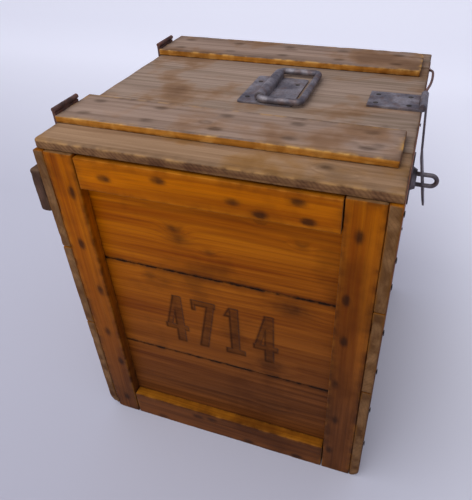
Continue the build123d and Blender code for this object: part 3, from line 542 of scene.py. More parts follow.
# Each numeral's strokes as outlines in a cell of 26 by 68 mm, from its lower left corner
STROKES = {
    "1": (block(8.5, 0, 17.5, 68), block(2.6, 0, 23.4, 6.5), ((8.5, 68), (2.5, 56), (8.5, 56))),
    "4": (block(12.5, 0, 21.5, 68), block(0, 17.68, 26, 24.18),
          ((0, 17.68), (13, 68), (17, 68), (17, 62), (5.5, 17.68))),
    "7": (block(0, 61.5, 26, 68), block(0, 54, 3.25, 68),
          ((26, 68), (17, 61.5), (5, 0), (14, 0))),
}


@dataclass(frozen=True)
class Numerals:
    """Plain numerals cut into a board. The height and the width are those of a stroke's cell."""

    digits: str = "4714"
    height_mm: float = 68.0
    width_mm: float = 26.0
    pitch_mm: float = 34.0
    lift_mm: float = 22.4
    depth_mm: float = 0.8

    def first_left(self) -> float:
        """The X of the first cell's left edge, in millimetres."""
        return -(self.pitch_mm * (len(self.digits) - 1) + self.width_mm) / 2

    def distance(self, x: np.ndarray, height: np.ndarray) -> np.ndarray:
        """Distance in millimetres to the nearest stroke, below zero inside one."""
        nearest = np.full(x.shape, np.inf)
        for number, digit in enumerate(self.digits):
            left = self.first_left() + number * self.pitch_mm
            for stroke in STROKES[digit]:
                apart = outline_distance(x / MM - left, height / MM - self.lift_mm, stroke)
                nearest = np.minimum(nearest, apart)
        return nearest


@dataclass(frozen=True)
class NumberedBoard(Board):
    """The front board that carries the numerals, cut in and burnt dark."""

    numerals: Numerals = Numerals()
    fine: float = 0.9 * MM
    margin_mm: float = 3.0
    face_depth: float = 1.5 * MM
    slope_mm: float = 1.2
    burn_mm: float = 1.3

    def places(self, low: np.ndarray, high: np.ndarray) -> list:
        """The grid places, drawn closer together over the numerals."""
        along_x, along_y, along_z = super().places(low, high)
        half = -self.numerals.first_left() * MM + self.margin_mm * MM
        foot = low[2] + (self.numerals.lift_mm - self.margin_mm) * MM
        top = foot + (self.numerals.height_mm + 2 * self.margin_mm) * MM
        return [with_fine(along_x, -half, half, self.fine), along_y,
                with_fine(along_z, foot, top, self.fine)]

    def build(self) -> Surface:
        """Build the board, then press each point inside a stroke in by the numerals' depth."""
        surface = super().build()
        low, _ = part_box(self.node)
        points = surface.points
        apart = self.numerals.distance(points[:, 0], points[:, 2] - low[2])
        front = points[:, 1] < low[1] + self.face_depth
        depth = self.numerals.depth_mm * MM * np.clip(0.5 - apart / self.slope_mm, 0, 1)
        points[front, 1] += depth[front]
        ragged = self.random(Pattern.BURNS, points, 5 * MM)
        burnt = np.exp(-(apart / self.burn_mm) ** 2) * (0.7 + 0.6 * ragged)
        burnt = np.maximum(burnt, (0.35 + 0.5 * ragged) * (apart < 0))
        stain = surface.values["stain"]
        surface.values["stain"] = np.where(front, np.maximum(stain, np.clip(burnt, 0, 1)), stain)
        return surface


# Nails
@dataclass(frozen=True)
class NailHead:
    """Where one nail's head sits, and the way it faces."""

    place: tuple
    axis: int
    outward: int
    radius: float
    length: float

    def stain(self, flat: np.ndarray, away: np.ndarray, grain: int, reach: float) -> np.ndarray:
        """Iron stain round the head on its face: exp(-d ** 4), drawn out along the grain.

        Args:
            flat: places on the plain box.
            away: the way that the surface faces at each of them.
            grain: the axis along the grain.
            reach: the distance at which the stain has faded.

        Returns:
            The stain's strength at each place.
        """
        offset = flat - np.array(self.place)
        near = np.abs(offset[:, self.axis]) < STAIN_DEPTH
        facing = np.clip(away[:, self.axis] * self.outward, 0, 1)
        scaled = offset / reach
        scaled[:, grain] /= STAIN_RUN
        scaled[:, self.axis] = 0
        strength = 0.75 + 0.45 * hashed(np.round(np.array([self.place]) / MM), 2)[0]
        return np.where(near, strength * facing * np.exp(-(scaled ** 2).sum(axis=1) ** 2), 0)


# The groups whose nails don't run along Y
NAIL_AXES = {"side_nails": Axis.X, "cleat_nails": Axis.X, "batten_nails": Axis.Z}


def node_points(node: str) -> np.ndarray:
    """All vertices of a CAD node as an array of shape (n, 3)."""
    mesh = bpy.data.objects[node].data
    points = np.empty(len(mesh.vertices) * 3)
    mesh.vertices.foreach_get("co", points)
    return points.reshape(-1, 3)


@lru_cache(maxsize=None)
def nail_heads(node: str) -> tuple:
    """Find every nail of a CAD group: each is a tight bunch of points seen along its axis.

    Args:
        node: a group of nails, all along one axis.

    Returns:
        One NailHead for each nail.
    """
    axis = NAIL_AXES.get(node, Axis.Y).value
    points = node_points(node)
    found = []
    while len(points):
        offset = points - points[0]
        offset[:, axis] = 0
        same_side = np.sign(points[:, axis]) == np.sign(points[0, axis])
        bunch = (np.linalg.norm(offset, axis=1) < NAIL_REACH) & same_side
        low, high = points[bunch].min(axis=0), points[bunch].max(axis=0)
        outward = 1 if axis == Axis.Z.value or (low + high)[axis] > 0 else -1
        place = (low + high) / 2
        place[axis] = high[axis] if outward > 0 else low[axis]
        side = 0 if axis == Axis.Y.value else 1
        found.append(NailHead(tuple(place), axis, outward, (high - low)[side] / 2,
                              (high - low)[axis]))
        points = points[~bunch]
    return tuple(found)


@dataclass(frozen=True)
class NailGroup:
    """Hammered nails with slightly domed, uneven heads, in place of a CAD group."""

    node: str
    dome: float = 0.45 * MM
    shank: float = 1.2 * MM
    uneven: float = 0.1
    sides: int = 14

    def build(self) -> Surface:
        """Turn one profile round each nail's axis.

        The profile runs from the head's crown over its rim to the shank and the point. A ring
        of radius r at depth h has the points (r cos t, r sin t, -h), with r scaled at random
        round the head.

        Returns:
            One surface with every nail of the group.
        """
        points, faces, start = [], [], 0
        for number, head in enumerate(nail_heads(self.node)):
            rings, quads = self.one(head, number)
            points.append(rings)
            faces.append(quads + start)
            start += len(rings)
        return Surface(np.concatenate(points), np.concatenate(faces))

    def one(self, head: NailHead, number: int) -> tuple:
        """The points and quads of one nail."""
        radii = np.concatenate([np.array(HEAD_RADII) * head.radius,
                                [self.shank, self.shank, self.shank * TIP_SHARE]])
        depths = np.concatenate([np.array(HEAD_DEPTHS) * self.dome,
                                 [NECK_DEPTH * self.dome, head.length - 2 * self.shank,
                                  head.length]])
        turn = np.linspace(0, 2 * math.pi, self.sides, endpoint=False)
        cells = np.stack([np.arange(self.sides), np.full(self.sides, number),
                          np.zeros(self.sides)], 1)
        uneven = 1 + self.uneven * (hashed(cells, 8) - 0.5)
        first, second = [axis for axis in range(3) if axis != head.axis]
        cloud = np.empty((len(radii), self.sides, 3))
        cloud[..., first] = head.place[first] + radii[:, None] * (np.cos(turn) * uneven)[None, :]
        cloud[..., second] = head.place[second] + radii[:, None] * (np.sin(turn) * uneven)[None, :]
        cloud[..., head.axis] = (head.place[head.axis]
                                 - head.outward * depths[:, None] * np.ones(self.sides))
        index, after = ring_numbers(len(radii), self.sides)
        quads = np.stack([index[:-1], after[:-1], after[1:], index[1:]], -1).reshape(-1, 4)
        quads = np.concatenate([quads, index[[0, -1], ::4]])
        handed = head.outward * (1 if head.axis != Axis.Y.value else -1)
        return cloud.reshape(-1, 3), quads if handed < 0 else quads[:, ::-1]


# The keeper wire
@dataclass(frozen=True)
class KeeperWire:
    """The bent wire from the lid's edge to the hasp's pin, as a smooth round tube."""

    node: str = "keeper_wire"
    radius: float = 1.35 * MM
    cad_radius: float = 0.8 * MM
    sides: int = 12
    per_span: int = 12

    def places(self) -> np.ndarray:
        """The places that the wire passes through, from the lid's edge to the pin."""
        low, high = (np.array(corner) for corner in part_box(self.node))
        low, high = low + self.cad_radius, high - self.cad_radius
        return low + np.array(WIRE_PLACES) * (high - low)

    def build(self) -> Surface:
        """Carry a circle along a smooth line through the places.

        Between p1 and p2 the line is half of 2 p1 + (p2 - p0) t + (2 p0 - 5 p1 + 4 p2 - p3) t t
        + (3 p1 - p0 - 3 p2 + p3) t t t, and each ring lies across the line.

        Returns:
            The tube, with one small quad over each end.
        """
        p = self.places()
        p = np.concatenate([[2 * p[0] - p[1]], p, [2 * p[-1] - p[-2]]])
        t = np.linspace(0, 1, self.per_span, endpoint=False)[None, :, None]
        p0, p1, p2, p3 = (p[k:len(p) - 3 + k, None] for k in range(4))
        line = 0.5 * (2 * p1 + (p2 - p0) * t + (2 * p0 - 5 * p1 + 4 * p2 - p3) * t ** 2
                      + (3 * p1 - p0 - 3 * p2 + p3) * t ** 3)
        line = np.concatenate([line.reshape(-1, 3), p[-2:-1]])
        along = np.gradient(line, axis=0)
        along /= np.linalg.norm(along, axis=1)[:, None]
        side = np.cross(along, (0, 0, 1))
        side /= np.linalg.norm(side, axis=1)[:, None]
        up = np.cross(side, along)
        line, side, up = (np.concatenate([a[:1], a, a[-1:]]) for a in (line, side, up))
        radii = np.full(len(line), self.radius)
        radii[[0, -1]] *= TIP_SHARE
        turn = np.linspace(0, 2 * math.pi, self.sides, endpoint=False)
        rings = line[:, None] + radii[:, None, None] * (
            np.cos(turn)[None, :, None] * side[:, None] + np.sin(turn)[None, :, None] * up[:, None])
        index, after = ring_numbers(len(line), self.sides)
        quads = np.stack([index[:-1], index[1:], after[1:], after[:-1]], -1).reshape(-1, 4)
        caps = index[:, ::self.sides // 4]
        ends = np.stack([caps[0], caps[-1][::-1]])
        return Surface(rings.reshape(-1, 3), np.concatenate([quads, ends]))


# Finishes
Socket = bpy.types.NodeSocket
Input = float | str | tuple | Socket


class Painter:
    """Short names for the nodes that the finishes use again and again."""

    def __init__(self, material: bpy.types.Material) -> None:
        """Turn the material's nodes on and find its surface shader."""
        material.use_nodes = True
        self.tree = material.node_tree
        self.shader = self.tree.nodes["Principled BSDF"]

    def put(self, socket: Socket, value: Input) -> None:
        """Link a socket to another node's output, or set it to a number, vector or hex colour."""
        if isinstance(value, Socket):
            self.tree.links.new(value, socket)
        else:
            socket.default_value = linear(value) if isinstance(value, str) else value

    def add(self, kind: str, inputs: dict | None = None, **settings) -> bpy.types.Node:
        """Add a node, apply its settings, and set or link its inputs.

        Args:
            kind: the node's type name.
            inputs: input name or number to what put takes.
            settings: the node's own properties.

        Returns:
            The new node.
        """
        made = self.tree.nodes.new(kind)
        for key, value in settings.items():
            setattr(made, key, value)
        for key, value in (inputs or {}).items():
            self.put(made.inputs[key], value)
        return made

    def shade(self, inputs: dict) -> None:
        """Set or link inputs of the surface shader, by their names."""
        for key, value in inputs.items():
            self.put(self.shader.inputs[key], value)

    def value(self, name: str) -> Socket:
        """A named number stored on the mesh."""
        return self.add("ShaderNodeAttribute", attribute_name=name).outputs["Fac"]

    def vector(self, name: str) -> Socket:
        """A named vector stored on the mesh."""
        return self.add("ShaderNodeAttribute", attribute_name=name).outputs["Vector"]

    def place(self) -> Socket:
        """The point's place on the object, in metres."""
        return self.add("ShaderNodeTexCoord").outputs["Object"]

    def split(self, vector: Socket) -> tuple:
        """A vector's three parts."""
        return tuple(self.add("ShaderNodeSeparateXYZ", {0: vector}).outputs)

    def scaled(self, vector: Socket, per_metre: tuple) -> Socket:
        """A vector multiplied by a number for each axis."""
        return self.add("ShaderNodeVectorMath", {0: vector, 1: per_metre},
                        operation="MULTIPLY").outputs["Vector"]

    def cloud(self, vector: Socket, scale: float = 1.0, detail: float = 2.0,
              distortion: float = 0.0) -> Socket:
        """Smooth random values, 0 to 1, centred on a half."""
        return self.add("ShaderNodeTexNoise",
                        {"Vector": vector, "Scale": scale, "Detail": detail,
                         "Distortion": distortion}).outputs["Fac"]

    def math(self, operation: str, first: Input, second: Input = 0.0) -> Socket:
        """One sum on one or two numbers."""
        return self.add("ShaderNodeMath", {0: first, 1: second}, operation=operation).outputs[0]

    def stretch(self, value: Socket, low: float, high: float, to_low: float = 0.0,
                to_high: float = 1.0) -> Socket:
        """Carry low..high to to_low..to_high, held at both ends."""
        return self.add("ShaderNodeMapRange",
                        {"Value": value, "From Min": low, "From Max": high, "To Min": to_low,
                         "To Max": to_high}).outputs["Result"]

    def mix(self, share: Input, first: Input, second: Input, blend: str = "MIX") -> Socket:
        """Mix two colours. A colour is a hex text or another node's output."""
        return self.add("ShaderNodeMix", {MIX_SHARE: share, MIX_FIRST: first, MIX_SECOND: second},
                        data_type="RGBA", blend_type=blend).outputs[MIX_RESULT]

    def finish(self, colour: Socket, roughness: Socket, height: Socket, depth: float) -> None:
        """Link the colour, the roughness and a relief of this depth to the shader."""
        bump = self.add("ShaderNodeBump", {"Height": height, "Distance": depth, "Strength": 1.0})
        self.shade({"Base Color": colour, "Roughness": roughness,
                    "Normal": bump.outputs["Normal"]})


@dataclass(frozen=True)
class WoodFinish:
    """Old softwood. Its colours follow the grain, the stains and the wear; painted shade darkens it
    towards its foot.

    Where the shaded low colours are left out, the wood has the same colours down to its foot, with
    no painted shade.
    """

    name: str
    light: str
    dark: str
    top_light: str
    top_dark: str
    top_patch: str
    worn: str
    end_grain: str
    shaded_low_light: str = ""
    shaded_low_dark: str = ""
    line: str = "#3c1f0e"
    # The colour of dirt, of stains and of the painted shade along the edges
    dirt_and_shade: str = "#24160e"
    ring_spacing_mm: float = 3.4
    ring_share: float = 0.16
    saw_spacing_mm: float = 4.5
    saw_share: float = 0.0
    top_share: float = 0.0
    worn_share: float = 0.4
    stain_share: float = 0.8
    sheen: float = 0.05
    roughness: float = 0.45
    relief_mm: float = 0.2

    def material(self) -> bpy.types.Material:
        """Build the node tree and return the material."""
        made = bpy.data.materials.new(self.name)
        p = Painter(made)
        grain = p.vector("grain")
        place = p.place()
        fibre = p.cloud(p.scaled(grain, FIBRES), detail=3)
        streak = p.cloud(p.scaled(grain, STREAKS), detail=4, distortion=0.3)
        band = p.cloud(p.scaled(grain, BANDS), detail=2)
        ring = self.rings(p, grain, streak)
        smudge = p.cloud(place, scale=16, detail=4)
        spots = p.cloud(place, scale=75, detail=3)
        x, _, z = p.split(place)
        # Painted shade: a share that grows lower down and towards the hasp side, turning the wood
        # darker and browner
        low = p.stretch(p.math("SUBTRACT", z, p.math("MULTIPLY", x, SHADE_TILT)), *SHADE_HEIGHT_RAMP)

        shade = p.math("ADD", p.math("MULTIPLY", streak, 0.5), p.math("MULTIPLY", band, 0.5))
        shade = p.stretch(shade, 0.37, 0.65)
        body = p.mix(low, p.mix(shade, self.light, self.dark),
                     p.mix(shade, self.shaded_low_light or self.light, self.shaded_low_dark or self.dark))
        if self.saw_share:
            body = p.mix(p.math("MULTIPLY", self.saw_marks(p, place), self.saw_share), body,
                         self.line)
        top_mask = p.math("MULTIPLY", p.stretch(p.value("top"), 0.45, 0.9), self.top_share)
        body = p.mix(top_mask, body, self.top_colour(p, shade, smudge))
        # Dark rot spots on the end grain, with painted shade that darkens it lower down
        rot_and_shade = p.math("ADD", p.stretch(spots, 0.38, 0.62, 0, 0.6), p.math("MULTIPLY", low, 0.25))
        ends = p.mix(rot_and_shade, self.end_grain, self.line)
        body = p.mix(p.stretch(p.value("ends"), 0.5, 0.9), body, ends)

        body = p.mix(p.math("MULTIPLY", ring, self.ring_share), body, self.line)
        body = p.mix(p.stretch(fibre, 0.52, 0.78, 0, 0.28), body, self.line)
        body = p.mix(p.stretch(smudge, 0.54, 0.72, 0, 0.45), body, self.line)
        wear = p.math("MULTIPLY", p.value("edge"), p.stretch(spots, 0.44, 0.62))
        body = p.mix(p.math("MULTIPLY", wear, self.worn_share), body, self.worn)
        # Dark grime along the board edges, with painted shade on the stiles' inner faces and in the
        # frame's corners
        grime = p.math("MULTIPLY", p.value("grime"), p.stretch(spots, 0.62, 0.4, 0.4, 1.0))
        body = p.mix(grime, body, self.dirt_and_shade)
        lift = p.math("ADD", 1.0, p.value("tone"))
        lift = p.add("ShaderNodeCombineXYZ", {0: lift, 1: lift, 2: lift}).outputs[0]
        body = p.mix(1.0, body, lift, blend="MULTIPLY")
        body = p.mix(p.math("MULTIPLY", p.value("stain"), self.stain_share), body, self.dirt_and_shade)

        rough = p.stretch(p.math("ADD", fibre, top_mask), 0.3, 1.5,
                          self.roughness - 0.1, self.roughness + 0.25)
        rise = p.math("SUBTRACT", p.math("MULTIPLY", fibre, 0.7), p.math("MULTIPLY", ring, 0.2))
        p.finish(body, rough, rise, self.relief_mm * MM)
        p.shade({"Specular IOR Level": self.sheen})
        return made

    def rings(self, p: Painter, grain: Socket, streak: Socket) -> Socket:
        """Year rings: thin dark lines at even steps of the distance from the tree's heart."""
        turns = p.math("MULTIPLY", p.split(grain)[2], 2 * math.pi / (self.ring_spacing_mm * MM))
        turns = p.math("ADD", turns, p.math("MULTIPLY", streak, 4.0))
        return p.stretch(p.math("SINE", turns), 0.2, 1.0)

    def saw_marks(self, p: Painter, place: Socket) -> Socket:
        """Slanted marks of the saw on a board's edge, one every saw_spacing_mm along X."""
        waves = p.add("ShaderNodeTexWave",
                      {"Vector": place, "Scale": math.pi / (5 * self.saw_spacing_mm * MM),
                       "Distortion": 4.0, "Detail": 3.0, "Detail Scale": 1.5},
                      bands_direction="DIAGONAL")
        return p.stretch(waves.outputs["Fac"], 0.35, 0.9)

    def top_colour(self, p: Painter, shade: Socket, smudge: Socket) -> Socket:
        """The colour of an upward face, bleached by use, with patches of older varnish."""
        top = p.mix(shade, self.top_light, self.top_dark)
        return p.mix(p.stretch(smudge, 0.5, 0.62, 0, 0.6), top, self.top_patch)


@dataclass(frozen=True)
class IronFinish:
    """Old bare iron: rubbed grey where hands touch it, with brown rust in patches."""

    name: str
    rubbed: str
    dark: str
    rust: str
    rust_share: float = 0.5
    roughness: float = 0.5
    metallic: float = 0.6
    sheen: float = 0.3
    relief_mm: float = 0.12

    def material(self) -> bpy.types.Material:
        """Build the node tree and return the material."""
        made = bpy.data.materials.new(self.name)
        p = Painter(made)
        place = p.place()
        broad = p.cloud(place, scale=70, detail=4)
        fine = p.cloud(place, scale=420, detail=3)
        body = p.mix(p.stretch(broad, 0.35, 0.65), self.rubbed, self.dark)
        rust = p.math("MULTIPLY", p.stretch(p.cloud(place, scale=110, detail=5), 0.5, 0.66),
                      self.rust_share)
        body = p.mix(rust, body, self.rust)
        body = p.mix(p.math("MULTIPLY", p.stretch(fine, 0.5, 0.75), 0.35), body, self.dark)
        rough = p.stretch(fine, 0.3, 0.7, self.roughness - 0.1, self.roughness + 0.15)
        p.finish(body, rough, fine, self.relief_mm * MM)
        p.shade({"Metallic": self.metallic, "Specular IOR Level": self.sheen})
        return made


# Amber varnish over pine on the box: golden under the lid, with painted shade that turns it brown
# towards the floor and the hasp side
VARNISHED = WoodFinish("varnished_pine", light="#c87000", dark="#9c4a00", shaded_low_light="#7a4620",
                       shaded_low_dark="#4e2a12", top_light="#b87414", top_dark="#8e5008",
                       top_patch="#7a4008", worn="#b87828", end_grain="#a87c50", line="#3a1a06",
                       top_share=0.75)
# The battens: bleached grey-brown on top, honey along their edges
BATTEN = WoodFinish("honey_pine", light="#d89036", dark="#9c5c18", top_light="#a38e80",
                    top_dark="#7e6a5c", top_patch="#96704e", worn="#dca85c",
                    end_grain="#7c5846", line="#4a2e1e", top_share=0.95, worn_share=0.65,
                    stain_share=0.5, roughness=0.6, relief_mm=0.3)
# The lid's boards: the same on top, with rough grey-brown sawn edges
SAWN = WoodFinish("sawn_pine", light="#9c7450", dark="#6e4a34", top_light="#aa9484",
                  top_dark="#82705f", top_patch="#98704a", worn="#c09468",
                  end_grain="#8a6450", line="#4a2e1e", top_share=0.95, stain_share=0.55,
                  saw_share=0.4, roughness=0.65, relief_mm=0.4)
# The strip of the lid in front of the batten: honey on top, sawn edges
STRIP = WoodFinish("strip_pine", light="#9c7450", dark="#6a4630", top_light="#a8886a",
                   top_dark="#826448", top_patch="#a0702e", worn="#c89a60",
                   end_grain="#7a5644", line="#4a2e1e", top_share=0.95, worn_share=0.6,
                   saw_share=0.4, roughness=0.6, relief_mm=0.4)
# The cleat: dark and grey with handling
HANDLED = WoodFinish("handled_pine", light="#7a6252", dark="#56402f", top_light="#8a7060",
                     top_dark="#6a5244", top_patch="#7a5a3e", worn="#94785e",
                     end_grain="#75594a", line="#33221a", top_share=0.8, roughness=0.65,
                     relief_mm=0.3)
# Blue-grey rubbed iron on the hasp, the staple and the handle
FITTING = IronFinish("rubbed_iron", rubbed="#948e92", dark="#5e5960", rust="#6e5040")
# Brown rusted iron on the hinges
HINGE = IronFinish("rusted_iron", rubbed="#7c5c54", dark="#503c38", rust="#7e4c38",
                   rust_share=0.8, roughness=0.65, metallic=0.3)
# Dull dark iron on the nails and screws
NAIL = IronFinish("dull_iron", rubbed="#5e5852", dark="#37312e", rust="#4c3222", roughness=0.55)


Finish = WoodFinish | IronFinish


class Crate:
    """What the sub-assemblies share: bodies, record slots, finishes and finished pieces."""

    def __init__(self, frame: dict) -> None:
        """Read each node's body and slot from the frame, and make every material."""
        self.nodes = frame["nodes"]
        behaviour = frame["record"]["behaviour"]
        self.body_of = {node: body for body, nodes in behaviour["bodies"].items()
                        for node in nodes}
        self.slot_of = {entry["node"]: entry["material_slot"]
                        for entry in frame["record"]["subparts"]}
        finishes = (VARNISHED, BATTEN, SAWN, STRIP, HANDLED, FITTING, HINGE, NAIL)
        self.materials = {finish.name: finish.material() for finish in finishes}

    def publish(self, surface: Surface, node: str, finish: Finish) -> None:
        """Make a surface into a piece that stands for a CAD node and rides on its body.

        Args:
            surface: the piece's surface.
            node: the CAD node it replaces.
            finish: the finish it wears.
        """
        piece = surface.object(f"look_{node}")
        piece.data.materials.append(self.materials[finish.name])
        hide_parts(node)
        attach(piece, self.body_of[node])
        log.info("%s: %d faces", piece.name, len(piece.data.polygons))

    def dress_node(self, node: str, finish: Finish) -> None:
        """Give a CAD node that stays a finish."""
        mesh = self.nodes[node].data
        mesh.materials.clear()
        mesh.materials.append(self.materials[finish.name])


# Sub-assemblies
WORN_FOOT = WornCorner(Axis.Y, (-165, 0), (1, 1), 20)
WORN_HEEL = WornCorner(Axis.Y, (165, 0), (-1, 1), 10)
WORN_LID = WornCorner(Axis.Z, (-165, -167.5), (1, 1), 7)
WORN_BATTEN = WornCorner(Axis.Z, (156, 145.5), (-1, -1), 12)


@dataclass(frozen=True)
class EndFrame:
    """One panelled end of the box: stiles, rails, panel boards and nails."""

    name: str
    first_seed: int
    marks: dict
    numbered: bool = False

    def boards(self) -> list:
        """The boards of this end, each with its grain and wear."""
        nails = (f"{self.name}_frame_nails", "floor_nails")
        # The stiles' edge darkening is partly painted shade on their inner faces
        stile = {"grain": Axis.Z, "wear": 1.6 * MM, "grime": 0.65, "nail_nodes": nails}
        rail = {"grain": Axis.X, "wear": 1.4 * MM, "tone": 0.05, "nail_nodes": nails}
        panel = {"grain": Axis.X, "wear": 0.9 * MM, "grime": 1.6, "grime_reach": 1.5 * MM,
                 "bright": 0.0, "open_top": 0.0}
        parts = {"stile_hinge_side": {**stile, "corners": (WORN_FOOT,)},
                 "stile_hasp_side": stile, "rail_top": rail, "rail_bottom": rail,
                 "panel_low": panel, "panel_middle": panel, "panel_top": panel}
        boards = []
        for seed, (part, settings) in enumerate(parts.items(), self.first_seed):
            kind = NumberedBoard if self.numbered and part == "panel_middle" else Board
            boards.append(kind(f"{self.name}_{part}", seed=seed, marks=self.marks.get(part, ()),
                               **settings))
        return boards

    def build(self, crate: Crate) -> None:
        """Build and dress this end."""
        for board in self.boards():
            crate.publish(board.build(), board.node, VARNISHED)
        nails = NailGroup(f"{self.name}_frame_nails")
        crate.publish(nails.build(), nails.node, NAIL)


@dataclass(frozen=True)
class Sides:
    """Both side walls, the cleat and their nails."""

    first_seed: int = 40

    def build(self, crate: Crate) -> None:
        """Build and dress the side walls and the cleat."""
        seed = self.first_seed
        for side, worn in (("hinge", WORN_FOOT), ("hasp", WORN_HEEL)):
            for level in ("low", "middle", "top"):
                board = Board(f"{side}_side_board_{level}", Axis.Y, seed, wear=2.0 * MM,
                              relief=0.25 * MM, tone=-0.05, nail_nodes=("side_nails",),
                              corners=(worn,) if level == "low" else ())
                crate.publish(board.build(), board.node, VARNISHED)
                seed += 1
        cleat = Board("cleat", Axis.Y, seed, wear=3.5 * MM, relief=0.3 * MM, tone=-0.1,
                      nail_nodes=("cleat_nails",))
        crate.publish(cleat.build(), "cleat", HANDLED)
        for node in ("side_nails", "cleat_nails", "floor_nails"):
            crate.publish(NailGroup(node).build(), node, NAIL)


@dataclass(frozen=True)
class Floor:
    """The three floor boards."""

    first_seed: int = 60
    step: float = 5 * MM

    def build(self, crate: Crate) -> None:
        """Build and dress the floor."""
        for number in (1, 2, 3):
            board = Board(f"floor_board_{number}", Axis.Y, self.first_seed + number,
                          step=self.step)
            crate.publish(board.build(), board.node, VARNISHED)


@dataclass(frozen=True)
class Lid:
    """The lid boards, the battens and their nails."""

    marks: dict
    first_seed: int = 70

    def build(self, crate: Crate) -> None:
        """Build and dress the lid."""
        board = {"wear": 2.2 * MM, "relief": 0.35 * MM}
        batten = {"wear": 1.8 * MM, "relief": 0.3 * MM, "bright": 1.5,
                  "nail_nodes": ("batten_nails",)}
        parts = {"lid_board_front": (STRIP, {**board, "corners": (WORN_LID,)}),
                 "lid_board_middle": (SAWN, board), "lid_board_rear": (SAWN, board),
                 "batten_front": (BATTEN, batten),
                 "batten_rear": (BATTEN, {**batten, "corners": (WORN_BATTEN,)})}
        for seed, (part, (finish, settings)) in enumerate(parts.items(), self.first_seed):
            made = Board(part, Axis.X, seed, marks=self.marks.get(part, ()), **settings)
            crate.publish(made.build(), part, finish)
        crate.publish(NailGroup("batten_nails").build(), "batten_nails", NAIL)


@dataclass(frozen=True)
class Hardware:
    """Hinges, hasp, staple, handle and keeper wire."""

    def build(self, crate: Crate) -> None:
        """Dress the fittings."""
        finishes = {"hinge_iron": HINGE, "fitting_iron": FITTING, "wire_iron": FITTING,
                    "screw_iron": NAIL}
        for node in crate.nodes:
            slot = crate.slot_of[node]
            if slot in finishes:
                crate.dress_node(node, finishes[slot])
        crate.publish(KeeperWire().build(), "keeper_wire", HINGE)


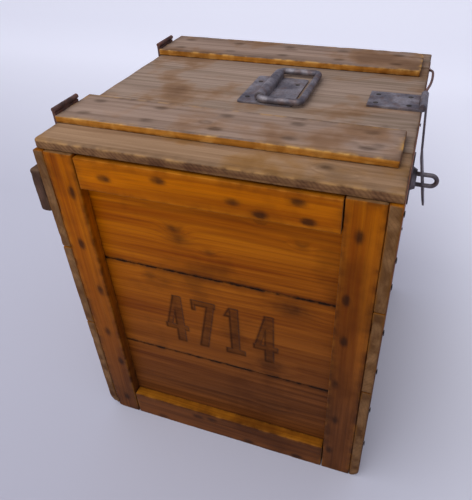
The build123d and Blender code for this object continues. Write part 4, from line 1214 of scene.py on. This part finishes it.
@dataclass(frozen=True)
class Studio:
    """The floor, the lights and the camera."""

    # Each lamp's name, place, aim, size and watts
    lamps: tuple = (("key", (-0.5, -0.7, 1.6), (0, -0.05, 0.3), 1.7, 16),
                    ("fill", (-0.4, -1.8, 1.1), (0, 0, 0.3), 1.2, 4))
    world_colour: str = "#f0f0ff"
    world_strength: float = 0.5
    floor_reach: float = 9.0
    floor_back: float = 5.0
    floor_rows: int = 200
    sweep_start: float = 1.6
    sweep_rise: float = 0.5
    # The paper's colours: painted darker near the camera as shade, lighter far off
    shaded_near_colour: str = "#b0b0bf"
    far_colour: str = "#f2f3ff"
    glow_colour: str = "#f4f6ff"

    def build(self) -> None:
        """Set up everything round the object."""
        self.floor()
        self.world()
        for lamp in self.lamps:
            self.lamp(*lamp)
        self.camera()
        bpy.context.scene.view_settings.view_transform = "Standard"

    def floor(self) -> None:
        """A pale sheet of paper: flat, then rising in a smooth sweep behind the crate."""
        steps = np.linspace(-self.floor_reach, self.floor_back, self.floor_rows)
        rise = np.clip(steps - self.sweep_start, 0, None) ** 2 * self.sweep_rise
        across = np.array([-self.floor_reach, self.floor_reach])
        points = np.stack([np.repeat(across, len(steps)), np.tile(steps, 2),
                           np.tile(rise, 2)], axis=1)
        near = np.arange(len(steps) - 1)
        far = near + len(steps)
        quads = np.stack([near, far, far + 1, near + 1], axis=1)
        sheet = Surface(points, quads).object("paper_sweep")
        sheet.data.materials.append(self.paper())

    def paper(self) -> bpy.types.Material:
        """Pale paper, painted darker near the camera as shade, with a painted glow towards the back
        and the hasp side.

        The glow is painted light for camera rays only, so that it lights nothing; towards the hasp
        side it paints out the crate's cast shadow.
        """
        made = bpy.data.materials.new("paper")
        p = Painter(made)
        x, y, _ = p.split(p.place())
        # Painted light: a glow that brightens the paper towards the back
        far = p.stretch(y, 0.25, 1.1, 0.05, 0.3)
        # Painted light over the crate's cast shadow on the hasp side
        shadow_glow = p.math("MULTIPLY", p.stretch(x, 0.12, 0.4), p.stretch(y, -0.35, 0.1, 0.15, 0.3))
        shadow_glow = p.math("MULTIPLY", shadow_glow, p.stretch(y, 1.0, 0.3))
        seen = p.add("ShaderNodeLightPath").outputs["Is Camera Ray"]
        # Painted shade: the paper darker near the camera
        p.shade({"Base Color": p.mix(p.stretch(y, -0.4, 1.2), self.shaded_near_colour, self.far_colour),
                 "Roughness": 0.9, "Emission Color": self.glow_colour,
                 "Emission Strength": p.math("MULTIPLY", seen, p.math("ADD", far, shadow_glow))})
        return made

    def world(self) -> None:
        """A pale world that lights the crate evenly from all round."""
        world = bpy.data.worlds.new("studio")
        world.use_nodes = True
        background = world.node_tree.nodes["Background"]
        background.inputs["Color"].default_value = linear(self.world_colour)
        background.inputs["Strength"].default_value = self.world_strength
        bpy.context.scene.world = world

    def lamp(self, name: str, place: tuple, aim: tuple, size: float, watts: float) -> None:
        """Add one square lamp that looks at a point."""
        light = bpy.data.lights.new(name, "AREA")
        light.size = size
        light.energy = watts
        lamp = bpy.data.objects.new(name, light)
        lamp.location = place
        lamp.rotation_euler = (Vector(aim) - Vector(place)).to_track_quat("-Z", "Y").to_euler()
        bpy.context.scene.collection.objects.link(lamp)

    def camera(self) -> None:
        """The photograph's viewpoint, lens and framing."""
        lens = bpy.data.cameras.new("camera")
        lens.sensor_width = SENSOR_MM
        lens.lens = FOCAL_PX * SENSOR_MM / IMAGE_HEIGHT_PX
        lens.shift_x = (IMAGE_WIDTH_PX / 2 - PRINCIPAL_X_PX) / IMAGE_HEIGHT_PX
        lens.shift_y = (PRINCIPAL_Y_PX - IMAGE_HEIGHT_PX / 2) / IMAGE_HEIGHT_PX
        lens.clip_start = CLIP_START
        camera = bpy.data.objects.new("camera", lens)
        forward = (Vector(CAMERA_TARGET) - Vector(CAMERA_EYE)).normalized()
        right = forward.cross(Vector((0, 0, 1))).normalized()
        up = right.cross(forward)
        roll = math.radians(CAMERA_ROLL_DEG)
        turned_right = right * math.cos(roll) + up * math.sin(roll)
        turned_up = turned_right.cross(forward)
        turn = Matrix((turned_right, turned_up, -forward)).transposed()
        camera.matrix_world = Matrix.Translation(CAMERA_EYE) @ turn.to_4x4()
        bpy.context.scene.collection.objects.link(camera)
        bpy.context.scene.camera = camera


FRONT_MARKS = {
    "panel_top": (Mark(-38, 309, 5), Mark(-34, 297, 7, 0.7), Mark(-4, 288, 4, 0.6),
                  Mark(92, 343, 4, 0.6), Mark(86, 317, 4, 0.5), Mark(49, 335, 3, 0.6)),
    "panel_middle": (Mark(80, 237, 11, 0.7), Mark(56, 147, 10, 0.6), Mark(-74, 242, 4, 0.4)),
    "panel_low": (Mark(60, 72, 8, 0.4),),
}
BACK_MARKS = {
    "panel_top": (Mark(60, 300, 6), Mark(-80, 325, 5, 0.6)),
    "panel_middle": (Mark(-30, 190, 6, 0.6),),
}
LID_MARKS = {
    "lid_board_front": (Mark(99, -143, 4), Mark(113, -151, 7, 0.4), Mark(-16, -106, 4, 0.4)),
    "lid_board_middle": (Mark(87, -64, 4, 0.4), Mark(136, -57, 5, 0.5)),
    "batten_front": (Mark(-20, -105, 4, 0.5), Mark(136, -110, 5, 0.5), Mark(61, -74, 4, 0.4)),
    "batten_rear": (Mark(-72, 127, 4, 0.5), Mark(-2, 123, 3, 0.6), Mark(53, 153, 4, 0.5)),
}


def main() -> None:
    """Build every sub-assembly in order, then the studio."""
    logging.basicConfig(level=logging.INFO, format="%(message)s")
    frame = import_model()
    crate = Crate(frame)
    assemblies = (
        EndFrame("front", 1, FRONT_MARKS, numbered=True),
        EndFrame("back", 20, BACK_MARKS),
        Sides(),
        Floor(),
        Lid(LID_MARKS),
        Hardware(),
    )
    for assembly in assemblies:
        assembly.build(crate)
    Studio().build()


if __name__ == "__main__":
    main()
